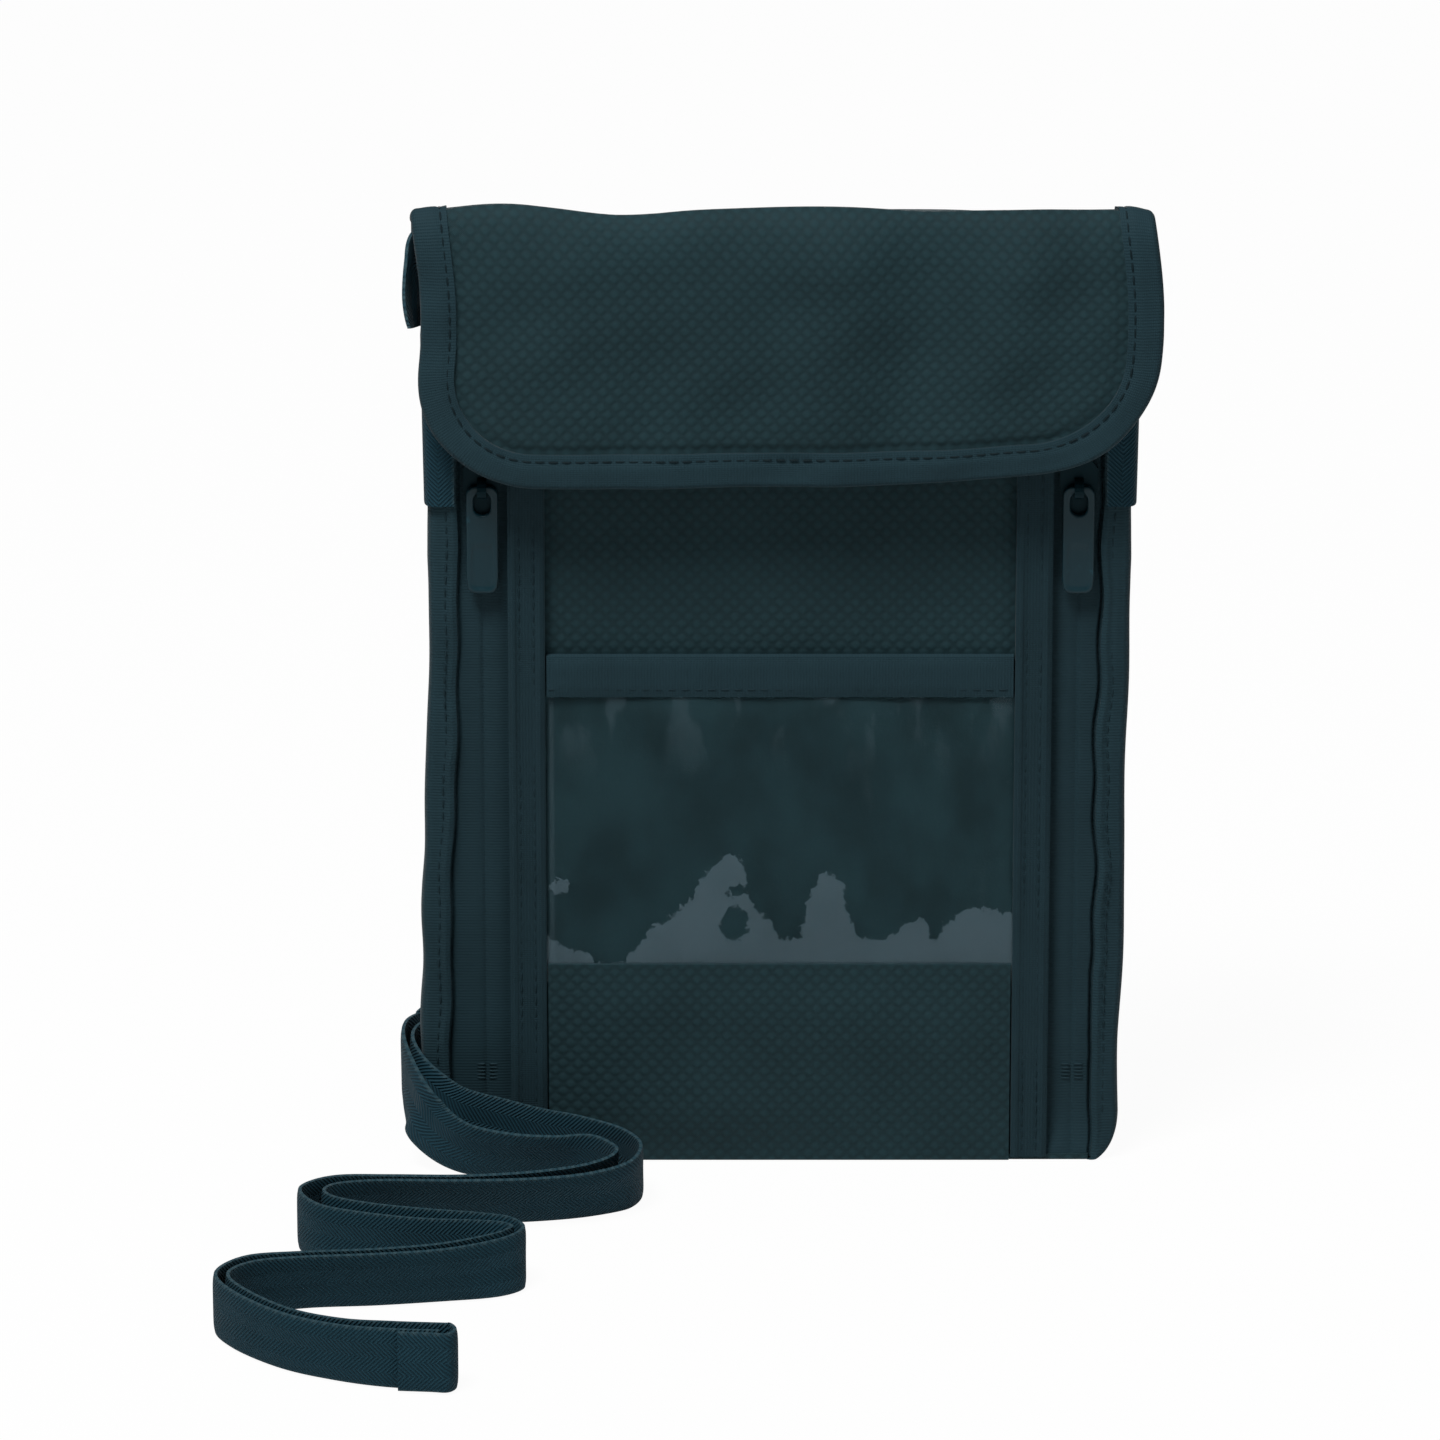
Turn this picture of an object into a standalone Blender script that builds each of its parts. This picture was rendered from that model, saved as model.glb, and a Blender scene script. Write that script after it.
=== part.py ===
"""Neck pouch wallet: a flat fabric pouch with a fold-over flap, two side zips and a webbing neck strap.

Metres, +Z up. The pouch stands on its bottom edge at z = 0, its front faces -Y and its middle is x = 0.
"""
import math

import bmesh
import bpy
from mathutils import Vector

# Overall sizes of the pouch
BODY_HALF_WIDTH = 0.0700
BODY_HEIGHT = 0.1910
CORNER_RADIUS = 0.0060
MOUTH_DROP = 0.0070

# Cloth thicknesses and the clearance that sewn layers keep
GAP = 0.0003
SHELL_CLOTH = 0.0008
POCKET_CLOTH = 0.0007
LINING_CLOTH = 0.0003
BINDING_WALL = 0.0009
MAIN_POCKET_DEPTH = 0.0056
ZIP_POCKET_DEPTH = 0.0027

# Columns across the front, from the side edge inwards
SIDE_BINDING_WIDTH = 0.0068
ZIP_STRIP_WIDTH = 0.0098
STAY_TAPE_WIDTH = 0.0072
STAY_LIP_WIDTH = 0.0033
STAY_LIP_THICKNESS = 0.0006
STAY_HEIGHT = 0.0019

# Window pocket
WINDOW_BOTTOM = 0.0419
WINDOW_FILM_HEIGHT = 0.0631
WINDOW_TUCK = 0.0040
WINDOW_FILM = 0.0003
WINDOW_BINDING_HEIGHT = 0.0084
WINDOW_BINDING_FOLD = 0.0018
WINDOW_BINDING_WALL = 0.0003

# Bindings along the bottom and the mouth
BOTTOM_BINDING_HEIGHT = 0.0070
MOUTH_BINDING_HEIGHT = 0.0070
MOUTH_BINDING_WALL = 0.0006

# Zips
ZIP_SLOT = 0.0012
ZIP_TAPE_CLOTH = 0.0005
ZIP_TAPE_DROP = 0.0110
COIL_WIDTH = 0.0018
COIL_THICKNESS = 0.0010
COIL_PITCH = 0.0030
COIL_NOTCH = 0.0007
COIL_TOOTH = 0.0015
COIL_SLOPE = 0.0003
COIL_BOTTOM = 0.0200
COIL_DROP = 0.0200
STOP_WIDTH = 0.0050
STOP_HEIGHT = 0.0030
STOP_THICKNESS = 0.0008
SLIDER_BELOW_FLAP = 0.0005
SLIDER_HEIGHT = 0.0110
SLIDER_WIDTH = 0.0074
SLIDER_NOSE_WIDTH = 0.0050
SLIDER_SHOULDER = 0.0038
SLIDER_PLATE = 0.0010
SLIDER_BACK_PLATE = 0.0008
SLIDER_POST_WIDTH = 0.0006
SLIDER_POST_HEIGHT = 0.0030
BRIDGE_WIDTH = 0.0018
BRIDGE_WALL = 0.0009
PULL_BAR_RADIUS = 0.00065
PULL_CLEARANCE = 0.0004
PULL_WIDTH = 0.0062
PULL_LENGTH = 0.0215
PULL_THICKNESS = 0.0013
PULL_CORNER_RADIUS = 0.0019
PULL_HOLE_WIDTH = 0.0034
PULL_HOLE_LENGTH = 0.0034
PULL_PAD_INSET = 0.0010
PULL_PAD_LENGTH = 0.0085
PULL_PAD_DEPTH = 0.0003

# Flap
FLAP_OVERHANG = 0.0025
FLAP_DROP = 0.0490
FLAP_CORNER_RADIUS = 0.0240
FLAP_OUTER_CLOTH = 0.0006
FLAP_LINING_CLOTH = 0.0004
FLAP_BINDING_WIDTH = 0.0070
FLAP_BINDING_WALL = 0.0006
FLAP_BINDING_START = 0.0030
FLAP_FOLD_RADIUS = 0.0028
FLAP_STANDOFF = 0.0012
FLAP_TOP_CLEARANCE = 0.0010
FLAP_HINGE_SETBACK = 0.0015
FLAP_HINGE_RISE = 0.0030
HOOK_HALF_WIDTH = 0.0350
HOOK_HEIGHT = 0.0160
HOOK_RISE = 0.0100
LOOP_THICKNESS = 0.0014

# Neck strap
STRAP_WIDTH = 0.0120
STRAP_THICKNESS = 0.0012
STRAND_SPACING = 0.0048
ANCHOR_DROP = 0.0190
ANCHOR_LENGTH = 0.0340
ANCHOR_WALL = 0.0010
ANCHOR_LEG = 0.0076
SEAM_OVERLAP = 0.0080
STRAP_FLOOR_GAP = 0.0004
FOLD_SHOULDER = 0.60
FOLD_REACH = 1.10
SEAM_ENTRY = 0.25

# Route of the doubled strap on the floor, chosen by hand: x, y of the line between its two strands,
# how far the strap leans towards the front, and the share of the spacing between the strands
FLOOR_ROUTE = [
    (-0.0340, -0.0205, 0.20, 1.4), (-0.0302, -0.0262, 0.30, 1.1), (-0.0318, -0.0320, 0.40, 1.0),
    (-0.0385, -0.0365, 0.45, 0.9), (-0.0490, -0.0395, 0.45, 0.7), (-0.0620, -0.0408, 0.45, 0.5),
    (-0.0760, -0.0414, 0.40, 0.5), (-0.0868, -0.0450, 0.20, 0.8), (-0.0915, -0.0510, 0.00, 1.0),
    (-0.0885, -0.0570, 0.00, 1.0), (-0.0800, -0.0610, 0.00, 1.0), (-0.0690, -0.0638, 0.00, 1.0),
    (-0.0595, -0.0655, -0.10, 0.8), (-0.0535, -0.0672, -0.15, 0.6), (-0.0512, -0.0710, -0.15, 0.5),
    (-0.0550, -0.0750, 0.00, 0.6), (-0.0650, -0.0782, 0.20, 0.6), (-0.0780, -0.0806, 0.22, 0.5),
    (-0.0920, -0.0820, 0.22, 0.5), (-0.1022, -0.0850, 0.15, 0.6), (-0.1072, -0.0925, 0.05, 0.5),
    (-0.1038, -0.1008, 0.05, 0.5), (-0.0945, -0.1104, 0.10, 0.5), (-0.0840, -0.1158, 0.10, 0.6),
    (-0.0740, -0.1182, 0.00, 0.7), (-0.0645, -0.1190, 0.00, 0.7),
]
# Each strand from its anchor to the floor route: x, y, z of its middle and the direction of its width
RIGHT_STRAND_ROUTE = [
    ((0.0717, 0.0010, 0.1724), (0.0, 1.0, 0.0)),
    ((0.0722, 0.0024, 0.1770), (0.0, 1.0, -0.10)),
    ((0.0721, 0.0056, 0.1815), (0.0, 0.75, -0.65)),
    ((0.0706, 0.0110, 0.1830), (0.0, 0.20, -0.98)),
    ((0.0640, 0.0132, 0.1800), (0.50, 0.0, -0.85)),
    ((0.0500, 0.0128, 0.1690), (0.66, 0.0, -0.75)),
    ((0.0250, 0.0115, 0.1430), (0.72, 0.0, -0.69)),
    ((-0.0050, 0.0110, 0.1080), (0.74, 0.0, -0.67)),
    ((-0.0330, 0.0110, 0.0720), (0.66, 0.0, -0.75)),
    ((-0.0500, 0.0112, 0.0400), (0.62, 0.0, -0.78)),
    ((-0.0600, 0.0116, 0.0240), (0.38, 0.0, -0.92)),
    ((-0.0685, 0.0108, 0.0184), (0.12, 0.0, -0.99)),
    ((-0.0724, 0.0066, 0.0176), (0.03, 0.0, -0.99)),
    ((-0.0730, 0.0000, 0.0172), (0.0, -0.05, -0.99)),
    ((-0.0706, -0.0074, 0.0150), (-0.18, -0.05, -0.98)),
    ((-0.0650, -0.0102, 0.0115), (-0.28, 0.0, -0.96)),
    ((-0.0560, -0.0104, 0.0088), (-0.26, 0.0, -0.96)),
    ((-0.0480, -0.0108, 0.0068), (-0.15, 0.0, -0.98)),
    ((-0.0395, -0.0130, 0.0062), (0.0, 0.05, -1.0)),
]
LEFT_STRAND_ROUTE = [
    ((-0.0719, 0.0010, 0.1724), (0.0, 1.0, 0.0)),
    ((-0.0729, 0.0022, 0.1768), (0.0, 1.0, -0.10)),
    ((-0.0727, 0.0054, 0.1815), (0.0, 0.75, -0.65)),
    ((-0.0710, 0.0110, 0.1835), (0.0, 0.20, -0.98)),
    ((-0.0655, 0.0142, 0.1815), (-0.35, 0.0, -0.93)),
    ((-0.0592, 0.0144, 0.1730), (-0.80, 0.0, -0.60)),
    ((-0.0548, 0.0140, 0.1590), (-0.95, 0.0, -0.30)),
    ((-0.0500, 0.0136, 0.1300), (-1.0, 0.0, -0.10)),
    ((-0.0475, 0.0140, 0.0980), (-1.0, 0.0, 0.12)),
    ((-0.0505, 0.0150, 0.0680), (-0.93, 0.0, 0.37)),
    ((-0.0560, 0.0156, 0.0420), (-0.78, 0.0, 0.62)),
    ((-0.0630, 0.0152, 0.0250), (-0.45, 0.0, 0.89)),
    ((-0.0702, 0.0140, 0.0186), (-0.15, 0.0, 0.99)),
    ((-0.0744, 0.0088, 0.0180), (-0.03, 0.0, 0.99)),
    ((-0.0749, 0.0008, 0.0174), (0.0, 0.0, 0.99)),
    ((-0.0724, -0.0092, 0.0136), (0.15, -0.05, 0.98)),
    ((-0.0690, -0.0130, 0.0096), (0.25, -0.12, 0.96)),
    ((-0.0630, -0.0164, 0.0068), (0.15, -0.25, 0.96)),
    ((-0.0540, -0.0186, 0.0059), (0.05, -0.35, 0.93)),
    ((-0.0440, -0.0200, 0.0058), (0.0, -0.35, 0.93)),
]
ROUTE_STEPS = 4

# Heights that follow from the body's height
MOUTH_HEIGHT = BODY_HEIGHT - MOUTH_DROP
FLAP_BOTTOM = BODY_HEIGHT - FLAP_DROP
FLAP_BINDING_TOP = BODY_HEIGHT - FLAP_BINDING_START
HOOK_BOTTOM = FLAP_BOTTOM + HOOK_RISE
SLIDER_PIVOT_Z = FLAP_BOTTOM - SLIDER_BELOW_FLAP
ZIP_TAPE_TOP = BODY_HEIGHT - ZIP_TAPE_DROP
COIL_TOP = ZIP_TAPE_TOP - COIL_DROP
ANCHOR_TOP = BODY_HEIGHT - ANCHOR_DROP
ANCHOR_BOTTOM = ANCHOR_TOP - ANCHOR_LENGTH
WINDOW_TOP = WINDOW_BOTTOM + WINDOW_FILM_HEIGHT
WINDOW_BINDING_TOP = WINDOW_TOP + WINDOW_BINDING_FOLD

# Places across the width, as distances from the middle
FLAP_HALF_WIDTH = BODY_HALF_WIDTH + FLAP_OVERHANG
SIDE_INNER = BODY_HALF_WIDTH - SIDE_BINDING_WIDTH
ZIP_CENTRE = SIDE_INNER - ZIP_STRIP_WIDTH / 2
STAY_OUTER = SIDE_INNER - ZIP_STRIP_WIDTH
STAY_INNER = STAY_OUTER - STAY_TAPE_WIDTH
WINDOW_HALF_WIDTH = STAY_INNER
FILM_HALF_WIDTH = STAY_INNER + STAY_LIP_WIDTH - GAP

# Places across the thickness, from the divider outwards; front faces are lower y
DIVIDER_FRONT = -0.0009
DIVIDER_BACK = DIVIDER_FRONT + POCKET_CLOTH
LINING_FRONT = DIVIDER_BACK + MAIN_POCKET_DEPTH
LINING_BACK = LINING_FRONT + LINING_CLOTH
BACK_FRONT = LINING_BACK + GAP
BACK_FACE = BACK_FRONT + SHELL_CLOTH
BODY_BACK = BACK_FACE + GAP + BINDING_WALL
FRONT_BACK = DIVIDER_FRONT - ZIP_POCKET_DEPTH
FRONT_FACE = FRONT_BACK - SHELL_CLOTH
TAPE_FACE = FRONT_BACK - ZIP_TAPE_CLOTH
COIL_FRONT = FRONT_BACK + GAP
COIL_BACK = COIL_FRONT + COIL_THICKNESS
STAY_BACK = FRONT_FACE - GAP
STAY_FACE = STAY_BACK - STAY_HEIGHT
LIP_BACK = STAY_FACE + STAY_LIP_THICKNESS
FILM_FRONT = LIP_BACK + GAP
FILM_BACK = FILM_FRONT + WINDOW_FILM
SIDE_FRONT_INNER = FRONT_FACE - GAP
SIDE_FRONT_FACE = SIDE_FRONT_INNER - BINDING_WALL
PLATE_BACK = TAPE_FACE - GAP
PLATE_FACE = PLATE_BACK - SLIDER_PLATE
PIVOT_Y = PLATE_FACE - GAP - PULL_BAR_RADIUS
FLAP_BACK = STAY_FACE - FLAP_STANDOFF
FLAP_LINING_BACK = FLAP_BACK - FLAP_BINDING_WALL - GAP
FLAP_LINING_FACE = FLAP_LINING_BACK - FLAP_LINING_CLOTH
FLAP_OUTER_BACK = FLAP_LINING_FACE - GAP
FLAP_OUTER_FACE = FLAP_OUTER_BACK - FLAP_OUTER_CLOTH
FLAP_FACE = FLAP_OUTER_FACE - GAP - FLAP_BINDING_WALL
LOOP_FACE = FRONT_FACE - GAP - LOOP_THICKNESS
HOOK_FACE = FLAP_LINING_BACK + GAP
PANEL_HALF_WIDTH = BODY_HALF_WIDTH - BINDING_WALL - GAP
PANEL_BOTTOM = BINDING_WALL + GAP
PANEL_CORNER = CORNER_RADIUS - BINDING_WALL - GAP
HINGE_Y = BACK_FACE + FLAP_HINGE_SETBACK
HINGE_Z = BODY_HEIGHT + FLAP_HINGE_RISE
ARC_STEPS = 8

# Colours, linear RGB
NAVY = (0.020, 0.034, 0.046)
NAVY_BINDING = (0.026, 0.042, 0.056)
NAVY_STRAP = (0.022, 0.038, 0.052)
SLATE_METAL = (0.060, 0.080, 0.095)
CLEAR_FILM = (0.30, 0.34, 0.36)
SILVER_LINING = (0.25, 0.26, 0.27)

for old in list(bpy.data.objects):
    bpy.data.objects.remove(old, do_unlink=True)


def new_collection(name):
    """Make a collection and link it to the scene."""
    collection = bpy.data.collections.new(name)
    bpy.context.scene.collection.children.link(collection)
    return collection


POUCH = new_collection("neck_pouch_wallet")
CUTTERS = new_collection("cutters")


def paint(obj, colour, roughness=0.85, metallic=0.0):
    """Give an object a Principled material of its own."""
    material = bpy.data.materials.new(obj.name)
    material.use_nodes = True
    shader = material.node_tree.nodes["Principled BSDF"]
    shader.inputs["Base Color"].default_value = (*colour, 1.0)
    shader.inputs["Roughness"].default_value = roughness
    shader.inputs["Metallic"].default_value = metallic
    obj.data.materials.clear()
    obj.data.materials.append(material)
    return obj


def prism(name, outline, axis, low, high, collection=POUCH):
    """Extrude a closed outline from low to high along axis.

    The outline is in (x, z) for axis Y, (y, z) for axis X and (x, y) for axis Z.
    """
    shape = bmesh.new()
    corners = []
    for across, along in outline:
        if axis == "Y":
            corners.append(shape.verts.new((across, low, along)))
        elif axis == "X":
            corners.append(shape.verts.new((low, across, along)))
        else:
            corners.append(shape.verts.new((across, along, low)))
    face = shape.faces.new(corners)
    lift = {"X": Vector((1, 0, 0)), "Y": Vector((0, 1, 0)), "Z": Vector((0, 0, 1))}[axis] * (high - low)
    swept = bmesh.ops.extrude_face_region(shape, geom=[face], use_keep_orig=True)
    moved = [item for item in swept["geom"] if isinstance(item, bmesh.types.BMVert)]
    bmesh.ops.translate(shape, verts=moved, vec=lift)
    bmesh.ops.recalc_face_normals(shape, faces=shape.faces)
    mesh = bpy.data.meshes.new(name)
    shape.to_mesh(mesh)
    shape.free()
    obj = bpy.data.objects.new(name, mesh)
    collection.objects.link(obj)
    return obj


def cut(obj, cutter):
    """Take a cutter out of an object with an exact Boolean."""
    cutter.hide_render = True
    cutter.display_type = "WIRE"
    modifier = obj.modifiers.new(cutter.name, "BOOLEAN")
    modifier.operation = "DIFFERENCE"
    modifier.object = cutter
    return obj


def join(obj, other):
    """Fuse another solid into an object with an exact Boolean."""
    other.hide_render = True
    other.display_type = "WIRE"
    modifier = obj.modifiers.new(other.name, "BOOLEAN")
    modifier.operation = "UNION"
    modifier.object = other
    return obj


def arc(centre, radius, start, end, steps=ARC_STEPS):
    """Points along a circular arc; angles in degrees."""
    points = []
    for step in range(steps + 1):
        angle = math.radians(start + (end - start) * step / steps)
        points.append((centre[0] + radius * math.cos(angle), centre[1] + radius * math.sin(angle)))
    return points


def panel_outline(half_width, bottom, top, radius):
    """A panel with both lower corners rounded."""
    left = arc((-half_width + radius, bottom + radius), radius, 180, 270)
    right = arc((half_width - radius, bottom + radius), radius, 270, 360)
    return left + right + [(half_width, top), (-half_width, top)]


def box_outline(low_a, high_a, low_b, high_b):
    """A plain rectangle."""
    return [(low_a, low_b), (high_a, low_b), (high_a, high_b), (low_a, high_b)]


def mirrored(outline, side):
    """An outline drawn for +X, turned over for the left side."""
    if side > 0:
        return outline
    return [(-across, along) for across, along in reversed(outline)]


def span(side, low, high):
    """An interval drawn for +X, turned over for the left side."""
    return (low, high) if side > 0 else (-high, -low)


SIDES = (("left", -1), ("right", 1))


def make_panels():
    """Back, shielding lining, divider and front layers of the pouch."""
    full = panel_outline(PANEL_HALF_WIDTH, PANEL_BOTTOM, BODY_HEIGHT, PANEL_CORNER)
    paint(prism("back_panel", full, "Y", BACK_FRONT, BACK_FACE), NAVY)
    inner = panel_outline(PANEL_HALF_WIDTH, PANEL_BOTTOM, MOUTH_HEIGHT, PANEL_CORNER)
    paint(prism("shield_lining", inner, "Y", LINING_FRONT, LINING_BACK), SILVER_LINING, 0.5, 0.3)
    paint(prism("divider_panel", inner, "Y", DIVIDER_FRONT, DIVIDER_BACK), NAVY)
    front_half = STAY_OUTER - GAP
    centre = box_outline(-front_half, front_half, PANEL_BOTTOM, MOUTH_HEIGHT)
    paint(prism("front_panel", centre, "Y", FRONT_FACE, FRONT_BACK), NAVY)


def make_window_pocket():
    """Clear film, its folded top binding and the fabric panel below it."""
    film = box_outline(-FILM_HALF_WIDTH, FILM_HALF_WIDTH, WINDOW_BOTTOM - WINDOW_TUCK, WINDOW_TOP)
    paint(prism("window_sheet", film, "Y", FILM_FRONT, FILM_BACK), CLEAR_FILM, 0.1)
    half = WINDOW_HALF_WIDTH - GAP
    low = WINDOW_BINDING_TOP - WINDOW_BINDING_HEIGHT
    back = FILM_BACK + GAP + WINDOW_BINDING_WALL
    folded = [
        (STAY_FACE, low), (LIP_BACK, low), (LIP_BACK, WINDOW_TOP + GAP), (FILM_BACK + GAP, WINDOW_TOP + GAP),
        (FILM_BACK + GAP, low), (back, low), (back, WINDOW_BINDING_TOP), (STAY_FACE, WINDOW_BINDING_TOP),
    ]
    paint(prism("window_top_binding", folded, "X", -half, half), NAVY_BINDING)
    hem = [
        (STAY_FACE, 0.0), (STAY_BACK, 0.0), (STAY_BACK, SHELL_CLOTH), (LIP_BACK, SHELL_CLOTH),
        (LIP_BACK, WINDOW_BOTTOM), (STAY_FACE, WINDOW_BOTTOM),
    ]
    paint(prism("lower_front_panel", hem, "X", -half, half), NAVY)


def make_stay_tapes():
    """Stitched tapes that hold the window pocket's sides, each with a lip over the film."""
    for name, side in SIDES:
        base = STAY_INNER + STAY_LIP_WIDTH
        section = [
            (STAY_INNER, STAY_FACE), (STAY_OUTER, STAY_FACE), (STAY_OUTER, STAY_BACK), (base, STAY_BACK),
            (base, LIP_BACK), (STAY_INNER, LIP_BACK),
        ]
        tape = prism("stay_tape_" + name, mirrored(section, side), "Z", 0.0, MOUTH_HEIGHT - MOUTH_BINDING_HEIGHT)
        paint(tape, NAVY_BINDING)


def make_bindings():
    """Folded tapes along the sides, the bottom and the mouth."""
    for name, side in SIDES:
        inner_radius = CORNER_RADIUS - BINDING_WALL
        corner = (BODY_HALF_WIDTH - CORNER_RADIUS, CORNER_RADIUS)
        strip = [(SIDE_INNER, 0.0)] + arc(corner, CORNER_RADIUS, 270, 360)
        strip += [(BODY_HALF_WIDTH, BODY_HEIGHT), (SIDE_INNER, BODY_HEIGHT)]
        groove_start = SIDE_INNER - BINDING_WALL
        groove_top = BODY_HEIGHT + BINDING_WALL
        groove = [(groove_start, BINDING_WALL)] + arc(corner, inner_radius, 270, 360)
        groove += [(BODY_HALF_WIDTH - BINDING_WALL, groove_top), (groove_start, groove_top)]
        tape = prism("side_binding_" + name, mirrored(strip, side), "Y", SIDE_FRONT_FACE, BODY_BACK)
        slot = prism("side_groove_" + name, mirrored(groove, side), "Y", SIDE_FRONT_INNER, BACK_FACE + GAP, CUTTERS)
        paint(cut(tape, slot), NAVY_BINDING)
    half = SIDE_INNER - GAP
    fold = [
        (STAY_BACK + GAP, 0.0), (BODY_BACK, 0.0), (BODY_BACK, BOTTOM_BINDING_HEIGHT),
        (BACK_FACE + GAP, BOTTOM_BINDING_HEIGHT), (BACK_FACE + GAP, BINDING_WALL), (STAY_BACK + GAP, BINDING_WALL),
    ]
    paint(prism("bottom_binding", fold, "X", -half, half), NAVY_BINDING)
    front = FRONT_FACE - GAP
    back = DIVIDER_BACK + GAP
    low = MOUTH_HEIGHT - MOUTH_BINDING_HEIGHT + GAP
    top = MOUTH_HEIGHT + GAP
    fold = [
        (front - MOUTH_BINDING_WALL, low), (front, low), (front, top), (back, top), (back, low),
        (back + MOUTH_BINDING_WALL, low), (back + MOUTH_BINDING_WALL, top + MOUTH_BINDING_WALL),
        (front - MOUTH_BINDING_WALL, top + MOUTH_BINDING_WALL),
    ]
    paint(prism("mouth_binding", fold, "X", -half, half), NAVY_BINDING)


def coil_outline(inner, outer, side):
    """One row of a zip's coil: a strip whose edge on the slot side is notched once every pitch."""
    count = int((COIL_TOP - COIL_BOTTOM) / COIL_PITCH)
    toothed = inner if side > 0 else outer
    plain = outer if side > 0 else inner
    step_in = COIL_NOTCH if side > 0 else -COIL_NOTCH
    points = [(plain, COIL_BOTTOM)]
    for tooth in range(count):
        low = COIL_BOTTOM + tooth * COIL_PITCH
        points += [
            (toothed, low), (toothed, low + COIL_TOOTH),
            (toothed + step_in, low + COIL_TOOTH + COIL_SLOPE), (toothed + step_in, low + COIL_PITCH - COIL_SLOPE),
        ]
    points += [(plain, COIL_BOTTOM + count * COIL_PITCH - COIL_SLOPE)]
    return points


def make_zip(name, side):
    """Tapes, coil rows and end stops of one side zip."""
    near = ZIP_CENTRE - ZIP_SLOT / 2
    far = ZIP_CENTRE + ZIP_SLOT / 2
    inner_edge = STAY_OUTER
    tapes = (("inner", inner_edge, near), ("outer", far, PANEL_HALF_WIDTH))
    for row, low, high in tapes:
        low_x, high_x = span(side, low, high)
        bottom = PANEL_BOTTOM if row == "inner" else PANEL_BOTTOM + PANEL_CORNER
        outline = box_outline(low_x, high_x, bottom, ZIP_TAPE_TOP)
        tape = prism("zip_tape_%s_%s" % (row, name), outline, "Y", TAPE_FACE, FRONT_BACK)
        paint(tape, NAVY, 0.7)
    rows = (("inner", near - COIL_WIDTH, near, -1), ("outer", far, far + COIL_WIDTH, 1))
    for row, low, high, facing in rows:
        outline = mirrored(coil_outline(low, high, facing), side)
        coil = prism("zip_coil_%s_%s" % (row, name), outline, "Y", COIL_FRONT, COIL_BACK)
        paint(coil, NAVY_BINDING, 0.4)
    low_x, high_x = span(side, ZIP_CENTRE - STOP_WIDTH / 2, ZIP_CENTRE + STOP_WIDTH / 2)
    low_z = COIL_BOTTOM - STOP_HEIGHT - GAP
    outline = box_outline(low_x, high_x, low_z, low_z + STOP_HEIGHT)
    stop_face = TAPE_FACE - GAP - STOP_THICKNESS
    paint(prism("zip_stop_" + name, outline, "Y", stop_face, TAPE_FACE - GAP), SLATE_METAL, 0.4, 0.8)


def slider_outline():
    """A slider plate about its pivot: wide shoulders above, a narrower nose below."""
    low = -SLIDER_HEIGHT / 2
    high = SLIDER_HEIGHT / 2
    return [
        (-SLIDER_NOSE_WIDTH / 2, low), (SLIDER_NOSE_WIDTH / 2, low), (SLIDER_WIDTH / 2, 0.0),
        (SLIDER_WIDTH / 2, SLIDER_SHOULDER), (SLIDER_NOSE_WIDTH / 2, high), (-SLIDER_NOSE_WIDTH / 2, high),
        (-SLIDER_WIDTH / 2, SLIDER_SHOULDER), (-SLIDER_WIDTH / 2, 0.0),
    ]


def make_slider(name, side):
    """Front and back plates of a zip slider, its post between the tapes and the bridge that holds the pull."""
    centre_x = side * ZIP_CENTRE
    plate = [(centre_x + across, SLIDER_PIVOT_Z + along) for across, along in slider_outline()]
    slider = prism("zip_slider_" + name, plate, "Y", PLATE_FACE, PLATE_BACK)
    back_plate_front = COIL_BACK + GAP
    back = prism("slider_back_" + name, plate, "Y", back_plate_front, back_plate_front + SLIDER_BACK_PLATE, CUTTERS)
    post_half = SLIDER_POST_WIDTH / 2
    post_top = SLIDER_PIVOT_Z + SLIDER_HEIGHT / 2
    post_outline = box_outline(centre_x - post_half, centre_x + post_half, post_top - SLIDER_POST_HEIGHT, post_top)
    overlap = SLIDER_BACK_PLATE / 2
    post = prism("slider_post_" + name, post_outline, "Y", PLATE_BACK - overlap, back_plate_front + overlap, CUTTERS)
    inner = PULL_BAR_RADIUS + PULL_CLEARANCE
    outer = inner + BRIDGE_WALL
    foot = PLATE_FACE + SLIDER_PLATE / 2
    centre = (PIVOT_Y, SLIDER_PIVOT_Z)
    arch = [(foot, SLIDER_PIVOT_Z + outer)] + arc(centre, outer, 90, 270)
    arch += [(foot, SLIDER_PIVOT_Z - outer), (foot, SLIDER_PIVOT_Z - inner)] + arc(centre, inner, 270, 90)
    arch += [(foot, SLIDER_PIVOT_Z + inner)]
    half = BRIDGE_WIDTH / 2
    bridge = prism("slider_bridge_" + name, arch, "X", centre_x - half, centre_x + half, CUTTERS)
    join(slider, bridge)
    join(slider, post)
    join(slider, back)
    paint(slider, SLATE_METAL, 0.4, 0.8)


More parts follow.
